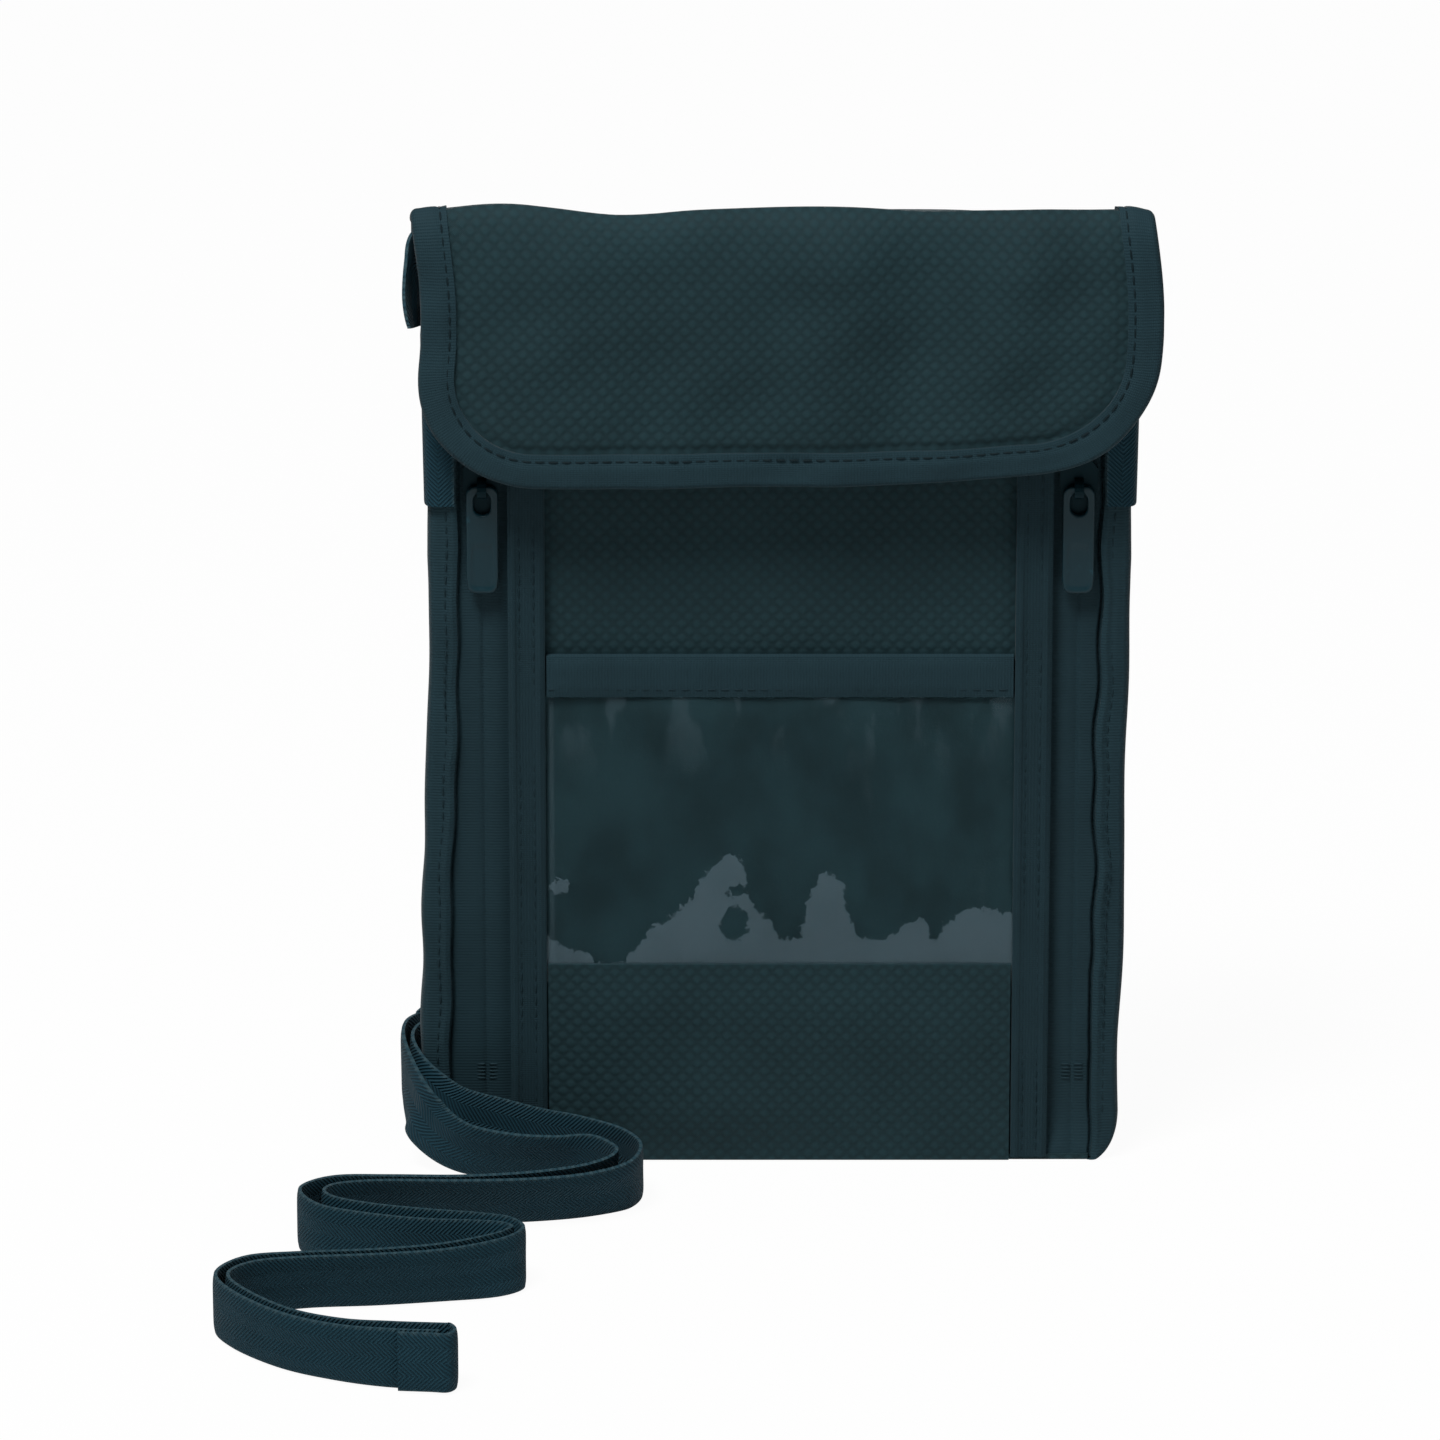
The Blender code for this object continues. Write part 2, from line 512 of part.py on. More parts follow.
def make_pull(name, side):
    """A hanging pull tab: rounded foot, hole round the bridge and a shallow pad on its lower half."""
    centre_x = side * ZIP_CENTRE
    half = PULL_WIDTH / 2
    top = SLIDER_PIVOT_Z + PULL_BAR_RADIUS
    low = SLIDER_PIVOT_Z - PULL_LENGTH
    radius = PULL_CORNER_RADIUS
    outline = arc((centre_x - half + radius, low + radius), radius, 180, 270)
    outline += arc((centre_x + half - radius, low + radius), radius, 270, 360)
    outline += [(centre_x + half, top), (centre_x - half, top)]
    front = PIVOT_Y - PULL_THICKNESS / 2
    back = PIVOT_Y + PULL_THICKNESS / 2
    pull = prism("zip_pull_" + name, outline, "Y", front, back)
    hole_half = PULL_HOLE_WIDTH / 2
    hole_top = SLIDER_PIVOT_Z - PULL_BAR_RADIUS
    hole = box_outline(centre_x - hole_half, centre_x + hole_half, hole_top - PULL_HOLE_LENGTH, hole_top)
    cut(pull, prism("pull_hole_" + name, hole, "Y", front - GAP, back + GAP, CUTTERS))
    pad_half = half - PULL_PAD_INSET
    pad_low = low + PULL_PAD_INSET
    pad = box_outline(centre_x - pad_half, centre_x + pad_half, pad_low, pad_low + PULL_PAD_LENGTH)
    cut(pull, prism("pull_pad_" + name, pad, "Y", front - GAP, front + PULL_PAD_DEPTH, CUTTERS))
    paint(pull, SLATE_METAL, 0.45, 0.3)


def flap_profile(radius_grow):
    """Side profile of a flap layer's inner face: up from the back edge and over the fold to the front."""
    radius = FLAP_FOLD_RADIUS + radius_grow
    top = BODY_HEIGHT + FLAP_TOP_CLEARANCE + FLAP_FOLD_RADIUS
    back_y = BACK_FACE - FLAP_FOLD_RADIUS
    front_y = FLAP_LINING_BACK + FLAP_FOLD_RADIUS
    base = top - FLAP_FOLD_RADIUS
    points = [(back_y + radius, BODY_HEIGHT + GAP)]
    points += arc((back_y, base), radius, 0, 90)
    points += arc((front_y, base), radius, 90, 180)
    return points


def flap_half_width(height, inset):
    """Half the flap's width at a height: straight sides that round in to the lower edge."""
    radius = FLAP_CORNER_RADIUS - inset
    low = FLAP_BOTTOM + inset
    width = FLAP_HALF_WIDTH - inset
    rise = min(max(height - low, 0.0), radius)
    return width - radius + math.sqrt(radius * radius - (radius - rise) ** 2)


def flap_sheet(name, radius_grow, thickness, inset):
    """One layer of the flap: a sheet over the fold whose width follows the rounded outline, made solid."""
    profile = flap_profile(radius_grow)
    low = FLAP_BOTTOM + inset
    radius = FLAP_CORNER_RADIUS - inset
    start = profile[-1]
    for height in (FLAP_BINDING_TOP, low + radius):
        profile.append((start[0], height))
    for step in range(1, ARC_STEPS + 1):
        angle = math.radians(90 * step / ARC_STEPS)
        profile.append((start[0], low + radius * (1 - math.sin(angle))))
    columns = (-1.0, -0.5, 0.0, 0.5, 1.0)
    verts = []
    for depth, height in profile:
        on_front = depth <= start[0] + GAP
        half = flap_half_width(height, inset) if on_front else FLAP_HALF_WIDTH - inset
        verts += [(column * half, depth, height) for column in columns]
    faces = []
    across = len(columns)
    for row in range(len(profile) - 1):
        for column in range(across - 1):
            first = row * across + column
            faces.append((first, first + across, first + across + 1, first + 1))
    mesh = bpy.data.meshes.new(name)
    mesh.from_pydata(verts, [], faces)
    mesh.update()
    sheet = bpy.data.objects.new(name, mesh)
    POUCH.objects.link(sheet)
    solid = sheet.modifiers.new("cloth", "SOLIDIFY")
    solid.thickness = thickness
    solid.offset = 1.0
    solid.use_even_offset = True
    return sheet


def rim_outline(inset, top):
    """The flap's outline set in from its edge, closed along the top."""
    radius = FLAP_CORNER_RADIUS - inset
    half = FLAP_HALF_WIDTH - inset
    low = FLAP_BOTTOM + inset
    left = arc((-half + radius, low + radius), radius, 180, 270)
    right = arc((half - radius, low + radius), radius, 270, 360)
    return [(-half, top)] + left + right + [(half, top)]


def make_flap():
    """Outer cloth, lining, edge binding and hook strip of the fold-over flap."""
    inset = FLAP_BINDING_WALL + GAP
    lining = flap_sheet("flap_lining", 0.0, FLAP_LINING_CLOTH, inset)
    paint(lining, NAVY)
    outer_grow = FLAP_LINING_CLOTH + GAP
    outer = flap_sheet("flap_outer", outer_grow, FLAP_OUTER_CLOTH, inset)
    paint(outer, NAVY)
    outside = rim_outline(0.0, FLAP_BINDING_TOP)
    inside = rim_outline(FLAP_BINDING_WIDTH, FLAP_BINDING_TOP)
    rim = prism("flap_binding", outside + inside[::-1], "Y", FLAP_FACE, FLAP_BACK)
    groove = rim_outline(FLAP_BINDING_WALL, FLAP_BINDING_TOP + FLAP_BINDING_WALL)
    slot_front = FLAP_OUTER_FACE - GAP
    slot_back = FLAP_LINING_BACK + GAP
    cut(rim, prism("flap_groove", groove, "Y", slot_front, slot_back, CUTTERS))
    paint(rim, NAVY_BINDING)
    patch = box_outline(-HOOK_HALF_WIDTH, HOOK_HALF_WIDTH, HOOK_BOTTOM, HOOK_BOTTOM + HOOK_HEIGHT)
    paint(prism("hook_strip", patch, "Y", HOOK_FACE, LOOP_FACE - GAP), NAVY_BINDING, 0.95)
    paint(prism("loop_strip", patch, "Y", LOOP_FACE, FRONT_FACE - GAP), NAVY_BINDING, 0.95)


def make_anchors():
    """Webbing ends folded round the pouch's side edges, where the neck strap is sewn on."""
    for name, side in SIDES:
        outer = BODY_HALF_WIDTH + GAP + ANCHOR_WALL
        inner = outer - ANCHOR_WALL
        leg = outer - ANCHOR_LEG
        front = SIDE_FRONT_FACE - GAP
        back = BODY_BACK + GAP
        section = [
            (leg, front - ANCHOR_WALL), (outer, front - ANCHOR_WALL), (outer, back + ANCHOR_WALL),
            (leg, back + ANCHOR_WALL), (leg, back), (inner, back), (inner, front), (leg, front),
        ]
        tab = prism("strap_anchor_" + name, mirrored(section, side), "Z", ANCHOR_BOTTOM, ANCHOR_TOP)
        paint(tab, NAVY_STRAP)


def smooth(points, steps):
    """A Catmull-Rom curve through points, with the ends carried straight on."""
    first = points[0] * 2 - points[1]
    last = points[-1] * 2 - points[-2]
    ring = [first] + list(points) + [last]
    result = []
    for index in range(1, len(ring) - 2):
        a, b, c, d = ring[index - 1:index + 3]
        for step in range(steps):
            t = step / steps
            result.append(0.5 * (2 * b + (c - a) * t + (2 * a - 5 * b + 4 * c - d) * t * t
                                 + (3 * b - a - 3 * c + d) * t * t * t))
    result.append(points[-1])
    return result


def floor_strand(offset):
    """The floor route moved sideways by an offset times its spread, standing on its edge and leaning.

    Returns the strand's points and the directions of its width.
    """
    line = [Vector((x, y, 0.0)) for x, y, _, _ in FLOOR_ROUTE]
    points = []
    widths = []
    for index, (_, _, lean, spread) in enumerate(FLOOR_ROUTE):
        before = line[max(index - 1, 0)]
        after = line[min(index + 1, len(line) - 1)]
        along = (after - before).normalized()
        width = Vector((0.0, -lean, 1.0)).normalized()
        rise = Vector((0.0, 0.0, width.z * STRAP_WIDTH / 2 + STRAP_FLOOR_GAP))
        points.append(line[index] + rise + Vector((-along.y, along.x, 0.0)) * offset * spread)
        widths.append(width)
    return points, widths


def webbing(name, route, widths):
    """A flat strap along a smooth route whose width turns from point to point."""
    middle = smooth(route, ROUTE_STEPS)
    across = smooth(widths, ROUTE_STEPS)
    verts = []
    for point, width in zip(middle, across):
        half = width.normalized() * (STRAP_WIDTH / 2)
        verts += [point - half, point + half]
    faces = [(2 * i, 2 * i + 1, 2 * i + 3, 2 * i + 2) for i in range(len(middle) - 1)]
    mesh = bpy.data.meshes.new(name)
    mesh.from_pydata(verts, [], faces)
    mesh.update()
    strap = bpy.data.objects.new(name, mesh)
    POUCH.objects.link(strap)
    solid = strap.modifiers.new("webbing", "SOLIDIFY")
    solid.thickness = STRAP_THICKNESS
    solid.offset = 0.0
    paint(strap, NAVY_STRAP)
    length = sum((b - a).length for a, b in zip(middle, middle[1:]))
    print("%s is %.3f m long" % (name, length))


def make_strap():
    """Two strands from the anchors, behind the pouch and out over the floor, sewn together at the far fold."""
    half = STRAND_SPACING / 2
    inner, floor_widths = floor_strand(half)
    outer, _ = floor_strand(-half)
    tip = (inner[-1] + outer[-1]) / 2
    along = (tip - (inner[-2] + outer[-2]) / 2).normalized()
    aside = Vector((-along.y, along.x, 0.0))
    shoulder = along * half * FOLD_SHOULDER
    lap = STRAP_THICKNESS + GAP
    front = outer[-1] - aside * lap
    fold = [inner[-1] + shoulder, tip - aside * lap / 2 + along * half * FOLD_REACH, front + shoulder,
            front - along * SEAM_OVERLAP * SEAM_ENTRY, front - along * SEAM_OVERLAP]
    right_widths = [Vector(width) for _, width in RIGHT_STRAND_ROUTE] + [-width for width in floor_widths]
    right_widths += [-floor_widths[-1]] * len(fold)
    webbing("neck_strap_right", [Vector(point) for point, _ in RIGHT_STRAND_ROUTE] + inner + fold, right_widths)
    outer[-1] -= along * GAP
    left_widths = [Vector(width) for _, width in LEFT_STRAND_ROUTE] + floor_widths
    webbing("neck_strap_left", [Vector(point) for point, _ in LEFT_STRAND_ROUTE] + outer, left_widths)


def pivot(name, place, pieces, parent=None):
    """Hang pieces on an empty that sits on their joint's axis, and the empty on another one if given."""
    axis = bpy.data.objects.new(name, None)
    axis.location = place
    POUCH.objects.link(axis)
    bpy.context.view_layer.update()
    for child, holder in [(bpy.data.objects[piece], axis) for piece in pieces] + [(axis, parent)]:
        if holder:
            child.parent = holder
            child.matrix_parent_inverse = holder.matrix_world.inverted()
    return axis


def make_pivots():
    """Joint axes: the flap's fold, the two slides and the two pulls on them."""
    pivot("flap_fold", (0.0, HINGE_Y, HINGE_Z), ["flap_outer", "flap_lining", "flap_binding", "hook_strip"])
    for name, side in SIDES:
        place = (side * ZIP_CENTRE, PIVOT_Y, SLIDER_PIVOT_Z)
        slide = pivot("slide_" + name, place, ["zip_slider_" + name])
        pivot("pull_swing_" + name, place, ["zip_pull_" + name], slide)


make_panels()
make_window_pocket()
make_stay_tapes()
make_bindings()
for side_name, side_sign in SIDES:
    make_zip(side_name, side_sign)
    make_slider(side_name, side_sign)
    make_pull(side_name, side_sign)
make_flap()
make_anchors()
make_strap()
make_pivots()
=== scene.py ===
"""Looks of the neck pouch wallet: woven panels, bound edges, clear window, zips and webbing strap."""
import math

import bmesh
import bpy
import numpy as np
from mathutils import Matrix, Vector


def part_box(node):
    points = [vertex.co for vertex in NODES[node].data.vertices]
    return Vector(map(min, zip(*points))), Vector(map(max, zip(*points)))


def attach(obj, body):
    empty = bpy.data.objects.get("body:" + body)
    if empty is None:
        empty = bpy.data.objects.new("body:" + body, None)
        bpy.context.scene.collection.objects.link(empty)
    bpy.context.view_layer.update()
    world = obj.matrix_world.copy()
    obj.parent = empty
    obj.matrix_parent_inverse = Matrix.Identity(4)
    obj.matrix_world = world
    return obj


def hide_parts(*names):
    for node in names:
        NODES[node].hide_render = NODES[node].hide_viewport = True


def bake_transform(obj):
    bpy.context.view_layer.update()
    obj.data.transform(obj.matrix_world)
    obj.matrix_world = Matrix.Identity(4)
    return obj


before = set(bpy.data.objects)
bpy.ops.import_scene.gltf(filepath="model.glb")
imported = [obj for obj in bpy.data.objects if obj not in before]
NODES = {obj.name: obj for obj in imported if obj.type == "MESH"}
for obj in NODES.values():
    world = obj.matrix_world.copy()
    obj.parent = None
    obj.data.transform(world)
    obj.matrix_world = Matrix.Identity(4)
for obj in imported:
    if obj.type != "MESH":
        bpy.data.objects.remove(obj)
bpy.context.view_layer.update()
SIDES = (("left", -1.0), ("right", 1.0))


def box(node):
    """Low and high corners of a CAD node as two arrays."""
    low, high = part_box(node)
    return np.array(low), np.array(high)


# Camera: the photograph looks down at the pouch from the front
VIEW_ELEVATION = math.radians(20.0)
VIEW_DISTANCE = 2.0
VIEW_TARGET = (-0.0118, -0.0066, 0.0936)
PHOTO_PIXELS = 1440
METRES_PER_PIXEL = 0.0001968
SENSOR_MM = 36.0

# Studio: a floor just under the part that the camera sees almost white, dim light from all round, and
# square lamps as name, place, side and power, all turned to one spot
WHITE = (1.0, 1.0, 1.0, 1.0)
FLOOR_GREY = (0.65, 0.65, 0.65, 1.0)
FLOOR_ROUGHNESS = 0.9
FLOOR_SIZE = 6.0
FLOOR_LEVEL = -0.0002
FLOOR_GLOW = 0.96
SKY_STRENGTH = 0.12
LAMP_TARGET = np.array([0.0, 0.0, 0.1])
LAMPS = (
    ("key", (-0.45, -0.70, 1.75), 0.55, 42.5),
    ("fill", (0.9, -1.4, 0.9), 1.2, 2.6),
    ("back", (0.3, 1.9, 0.25), 1.0, 9.0),
)

# Colours, linear RGB, and the shades of them that single finishes have; the stay tapes' and the slider's
# darker shades are painted shade
CLOTH = (0.0098, 0.0270, 0.0326)
TAPE = (0.0110, 0.0291, 0.0376)
WEBBING = (0.0078, 0.0296, 0.0425)
# Pale tint of the strap's looped selvedges, partly a painted highlight along its edges
SELVEDGE_AND_HIGHLIGHT = (0.0270, 0.0560, 0.0690)
THREAD = (0.0052, 0.0140, 0.0180)
METAL = (0.0028, 0.0215, 0.0300)
SHIELD = (0.2200, 0.2300, 0.2400)
# Pale tint of the painted reflections on the window film
REFLECTION_TINT = (0.1050, 0.1700, 0.2050)
# The stay tapes' darker shade of the binding tape is painted shade on the pouch's body
STAY_TAPE_PAINTED_SHADE = 0.86
ZIP_TAPE_SHADE = 0.93
TAPE_THREAD_SHADE = 0.80
# The slider's darker shade of the metal is painted shade under the flap's edge
SLIDER_PAINTED_SHADE = 0.60

# Shine: the specular level of matt cloth and of the three finishes that differ from it
MATT_SPECULAR = 0.10
WEBBING_SPECULAR = 0.08
FILM_SPECULAR = 0.20
PAINT_SPECULAR = 0.23
SLIDER_SPECULAR = 0.06

# Weave sizes in metres
DIAMOND_PITCH = 0.00420
YARN_PITCH = 0.00042
TAPE_PITCH = 0.00060
TWILL_PITCH = 0.00090
TWILL_COLUMN = 0.0030
SELVEDGE_PITCH = 0.0022
RIPSTOP_PITCH = 0.0080

# Painted reflections on the window film, as pale patches: their upper line as share of the width and
# height in millimetres, then holes in them and spots beside them as x, height and the two half sizes in
# millimetres
MILLIMETRE = 0.001
FILM_HALF_WIDTH = 0.0462
REFLECTION_LINE = [
    (0.000, 5.9), (0.025, 4.0), (0.095, 1.9), (0.105, 0.0), (0.172, 0.0), (0.178, 1.5), (0.232, 8.4),
    (0.262, 9.1), (0.270, 10.9), (0.314, 14.2), (0.337, 18.5), (0.367, 22.2), (0.396, 23.4),
    (0.421, 22.4), (0.432, 14.6), (0.455, 11.0), (0.480, 9.4), (0.500, 5.2), (0.548, 5.4),
    (0.556, 12.8), (0.574, 16.4), (0.597, 19.8), (0.633, 17.8), (0.641, 14.8), (0.650, 9.2),
    (0.678, 5.4), (0.722, 5.2), (0.796, 9.8), (0.846, 8.0), (0.900, 11.8), (0.944, 11.7), (1.000, 10.4),
]
REFLECTION_HOLES = [(-9.0, 8.7, 3.0, 3.7), (-8.0, 15.9, 2.8, 1.1), (30.8, 7.6, 1.3, 2.6)]
REFLECTION_SPOTS = [(-43.6, 16.4, 1.9, 1.6)]
REFLECTION_TEAR = 0.0046
REFLECTION_SOFTNESS = 0.00012
SPOT_SOFTNESS = (0.85, 1.15)

# Painted reflections: pale smears near the window's top, and a painted highlight along the film's left edge
REFLECTION_SMEAR_HEIGHTS = (0.038, 0.054)
EDGE_HIGHLIGHT_INSET = 0.0012
EDGE_HIGHLIGHT_HALF = (0.0002, 0.0007)

# Ripples: how much shorter and longer than asked for their waves are, and the seeds that aren't in a form
RIPPLE_SPREAD = (0.6, 1.7)
FILM_SEED = 23
EDGE_SEED = 31
TAB_SEED = 37
FLAP_BROAD_SEED = 51
FLAP_SMALL_SEED = 52
FLAP_TAPE_SEED = 53
SHIFT_SEED_STEP = 1
BEAD_SEED_STEP = 5
RIDGE_SEED_STEP = 7

# Edges sharper than these angles, in degrees, stay sharp
SHARP_ANGLE = 40.0
STITCH_SHARP_ANGLE = 80.0
PULL_SHARP_ANGLE = 60.0

# Stitches: capsules with rings at these shares of the length and of the radius
STITCH_PITCH = 0.0026
STITCH_LENGTH = 0.0019
STITCH_RADIUS = 0.00020
STITCH_PROUD = 0.0001
STITCH_AIM = 0.2
STITCH_SIDES = 6
STITCH_STATIONS = np.array([-0.5, -0.42, -0.2, 0.2, 0.42, 0.5])
STITCH_SWELL = np.array([0.15, 0.65, 1.0, 1.0, 0.65, 0.15])

# Pouch body: rounded lower corners, and the layers that come together at the foot
CORNER_WIDTH = 0.0050
CORNER_HEIGHT = 0.0095
FOOT_HEIGHT = 0.0130
HALF_WIDTH = box("side_binding_right")[1][0]

# How far each side edge is drawn in at the foot, and both at the waist and from the strap's tabs up
SIDE_DRAW = {"left": -0.0014, "right": 0.0022}
SIDE_DRAW_TOP = 0.120
SIDE_DRAW_RUN = 0.095
SIDE_WAIST = 0.0011
WAIST_HEIGHT = 0.105
WAIST_SPREAD = 0.035
TAB_DRAW = 0.0006
TAB_DRAW_FOOT = 0.126
TAB_DRAW_RUN = 0.010

# Flat pieces: how far each swells and ripples, its ripple's seed, its grid's pitch, the margin that is sewn
# flat, the bead along its edges and how far its foot leans to the front
PANEL_PITCH = 0.0015
PANEL_MARGIN = 0.012
PANEL_WAVELENGTH = 0.035
PANEL_FORMS = {
    "back_cloth": {"bulge": -0.0006, "wave": 0.0005, "seed": 11},
    "shield_sheet": {"bulge": 0.0, "wave": 0.00012, "seed": 12},
    "divider_cloth": {"bulge": 0.0, "wave": 0.00015, "seed": 13},
    "front_cloth": {"bulge": 0.0002, "wave": 0.0002, "seed": 21},
    "lower_front_cloth": {"bulge": 0.0008, "wave": 0.0004, "seed": 22},
    "window_binding_tape": {"bulge": 0.0003, "wave": 0.0001, "seed": 24, "pitch": 0.0008, "margin": 0.002},
    "stay_tape_cloth": {"wave": 0.00015, "seed": 25, "pitch": 0.0010, "margin": 0.0014, "ridge": 0.00045},
    "bottom_binding_tape": {"wave": 0.0001, "seed": 33, "pitch": 0.0010, "margin": 0.002},
    "bottom_edge_cloth": {"seed": 34},
    "mouth_binding_tape": {"bulge": 0.0002, "wave": 0.0001, "seed": 35, "pitch": 0.0010, "margin": 0.002},
    "loop_tape": {"wave": 0.0001, "seed": 36},
    "zip_strip": {"bulge": 0.00015, "wave": 0.0001, "seed": 41, "pitch": 0.0008, "margin": 0.002,
                  "lean": 0.0021},
}
SHEET_MARGIN = 0.0012
LEAST_COLUMNS = 6
LEAST_ROWS = 4
SHAPED_ROWS = 8
SHAPED_CROWDING = 1.3

# Beads along the tapes' edges
RIDGE_WIDTH = 0.0007
RIDGE_COLUMNS = 3
RIDGE_INSET = 0.0010
RIDGE_UNEVEN = 0.35
RIDGE_WAVELENGTH = 0.018

# Front: the lower panel's cloth, the window's film and the cloth behind it, and the tapes' stitches
LOWER_CLOTH_DEPTH = 0.0007
FILM_GRID = (90, 70)
FILM_STAND = 0.0003
FILM_BULGE = 0.0006
FILM_WAVE = 0.0004
FILM_WAVELENGTH = 0.03
BACKING_GAP = 0.0001
BACKING_DEPTH = 0.0003
WINDOW_STITCH_RISE = 0.0016
STAY_FOOT = 0.0007
STAY_STITCH_INSETS = (0.0022, 0.0050)
STAY_STITCH_FOOT = 0.001

# Tapes folded round an edge: the turn's squareness, its steps and those of each leg, and their unevenness
WRAP_SQUARENESS = 0.45
WRAP_TURN_STEPS = 15
WRAP_LEG_STEPS = 12
WRAP_BACK_SHARE = 0.4
WRAP_PUCKER_LENGTH = 0.020
WRAP_STRETCH = 0.6
WRAP_SHIFT_LENGTH = 0.030
BEAD_UNEVEN = 0.4
BEAD_WAVELENGTH = 0.015

# Side bindings: where their inner edge runs, how it wavers, and their own form
BINDING_TRIM = 0.0011
SLIDER_CLEARANCE = 0.0003
EDGE_PITCHES = (0.0470, 0.0190)
EDGE_WAVER = {"left": 0.00018, "right": 0.00030}
EDGE_WALL = 0.0008
EDGE_FORM = {"pucker": 0.00035, "ridge": 0.0004, "lean": 0.0006}
EDGE_STITCH_INSET = 0.0022
EDGE_STITCH_END = 0.002
EDGE_ROWS = 150
CORNER_ROWS = 30

# Bottom binding with the cloth under the pouch, and the strap's tabs
BOTTOM_LAP = 0.0010
BOTTOM_TAPE_DEPTH = 0.0009
UNDER_CLOTH_INSET = 0.0004
UNDER_CLOTH_GAP = 0.0002
UNDER_CLOTH_HEIGHT = 0.0012
TAB_WALL = 0.0008
TAB_PUCKER = 0.0001
TAB_ROWS = 40

# Zip strips
ZIP_FOOT = 0.0003
ZIP_TUCK = 0.0006
ZIP_CREASE = 0.0003
GROOVE_WIDTH = 0.00036
SEAM_DEPTH = 0.00014
CREASE_DEPTH = {"left": 0.00040, "right": 0.00085}
TACK_BARS = 5

# Zip pulls
PULL_EDGE_RADIUS = 0.00045
PULL_CORNER_RADIUS = 0.0019
PULL_HOLE_HALF = 0.0017
PULL_HOLE_LENGTH = 0.0030
PULL_HOLE_ROUNDNESS = 0.98
PULL_BAR = 0.0013
PULL_PAD_INSET = 0.0010
PULL_PAD_LENGTH = 0.0088
PULL_PAD_DEPTH = 0.00028
PULL_PAD_BLEND = 0.0005
PULL_RAYS = 160
PULL_RINGS = 40
RAY_HALVINGS = 40

# Flap: its profile over the pouch
FLAP_FOLD_RADIUS = 0.0042
FLAP_BROW_HEIGHT = 0.0120
FLAP_CORNER_RADIUS = 0.0240
FLAP_THICKNESS = 0.0017
FLAP_LIFT = 0.0016
FLAP_CREST = 0.0026
FLAP_BACK_DROP = 0.0032
FLAP_FOOT_LAP = 0.0015
FLAP_SIDE_MARGIN = 0.0005
FLAP_TURN_STEPS = 14
FLAP_LEVEL_STEPS = 6
FLAP_DROP_STEPS = 69

# Flap cloth: its grid, how far it hangs forward and shifts aside, and its relief; hollows are given as
# height, slant, centre and half width, waves of the fold and of the lower edge without a slant
FLAP_ROWS = 110
FLAP_COLUMNS = 130
FLAP_CLOTH_INSET = 0.0012
FLAP_HANG = 0.0042
FLAP_SHIFT = 0.0022
FLAP_SHIFT_IN = 0.45
FLAP_SHIFT_OUT = (0.5, 0.4)
FLAP_BELLY = 0.0010
FLAP_BELLY_RUN = 0.030
FLAP_RELIEF_START = 0.020
FLAP_HOLLOW_MARGIN = 0.020
FLAP_BROAD_WAVE = 0.0006
FLAP_BROAD_LENGTH = 0.055
FLAP_BROAD_STRETCH = 0.6
FLAP_SMALL_WAVE = 0.00035
FLAP_SMALL_LENGTH = 0.024
FLAP_CREASE = 0.00045
FLAP_CREASE_GAP = 0.0006
FLAP_CREASE_WIDTH = 0.0008
FLAP_HOLLOWS = (
    (0.0010, 0.20, 0.052, 0.008), (-0.0013, 0.25, 0.034, 0.008),
    (0.0009, -0.15, 0.004, 0.009), (-0.0006, -0.10, -0.030, 0.010),
)
FOLD_SPREAD = 0.011
FOLD_DROP = 0.0003
FOLD_WAVES = (
    (0.0014, -0.053, 0.013), (-0.0016, -0.032, 0.013), (-0.0008, 0.047, 0.010),
    (-0.0018, 0.0745, 0.004), (-0.0010, -0.0745, 0.008),
)
TAIL_WAVES = ((0.0026, 0.054, 0.020), (-0.0004, -0.025, 0.030))

# Flap binding with its stitches, and the closing strip
OUTLINE_CORNER_STEPS = 30
OUTLINE_SIDE_STEPS = 60
OUTLINE_FOOT_STEPS = 90
FLAP_NOSE_STEPS = 11
FLAP_LEG_STEPS = 9
FLAP_TAPE_WIDTH = 0.0070
FLAP_TAPE_RISE = 0.0006
FLAP_TAPE_NOSE = 0.0012
FLAP_TAPE_START = 0.0005
FLAP_TAPE_PUFF = 0.00015
FLAP_TAPE_PUCKER = 0.00018
FLAP_PUCKER_LENGTH = 0.016
FLAP_PUCKER_STRETCH = 3
FLAP_STITCH_INSET = 0.0013
FLAP_STITCH_SINK = 0.0001
FLAP_STITCH_DENT = 0.0003
FLAP_STITCH_SPREAD = 0.0006
FLAP_STITCH_ENDS = 8
HOOK_TAPE_DEPTH = 0.0009
HOOK_TAPE_GRID = (60, 16)

# Names given to cloth that crosses the flap's fold; such cloth hangs on neither body
FOLD_BODIES = ("pouch", "flap")

# Neck strap: a flat oval section, and two strands side by side with a sewn lap at the far fold
STRAP_WIDTH = 0.0120
STRAP_THICKNESS = 0.0012
STRAP_SECTION_STEPS = 13
SELVEDGE_THINNING = 0.45
SELVEDGE_POWER = 6
STRAND_SPACING = 0.0048
SEAM_OVERLAP = 0.0080
SEAM_ROWS = (0.0012, 0.0030)
SEAM_SPAN = 0.45
SEAM_STEPS = 12
STRAP_LAP_GAP = 0.0003
STRAP_FLOOR_GAP = 0.0004
FOLD_SHOULDER = 0.60
FOLD_REACH = 1.10
SEAM_ENTRY = 0.25
STRAP_STEPS = 14

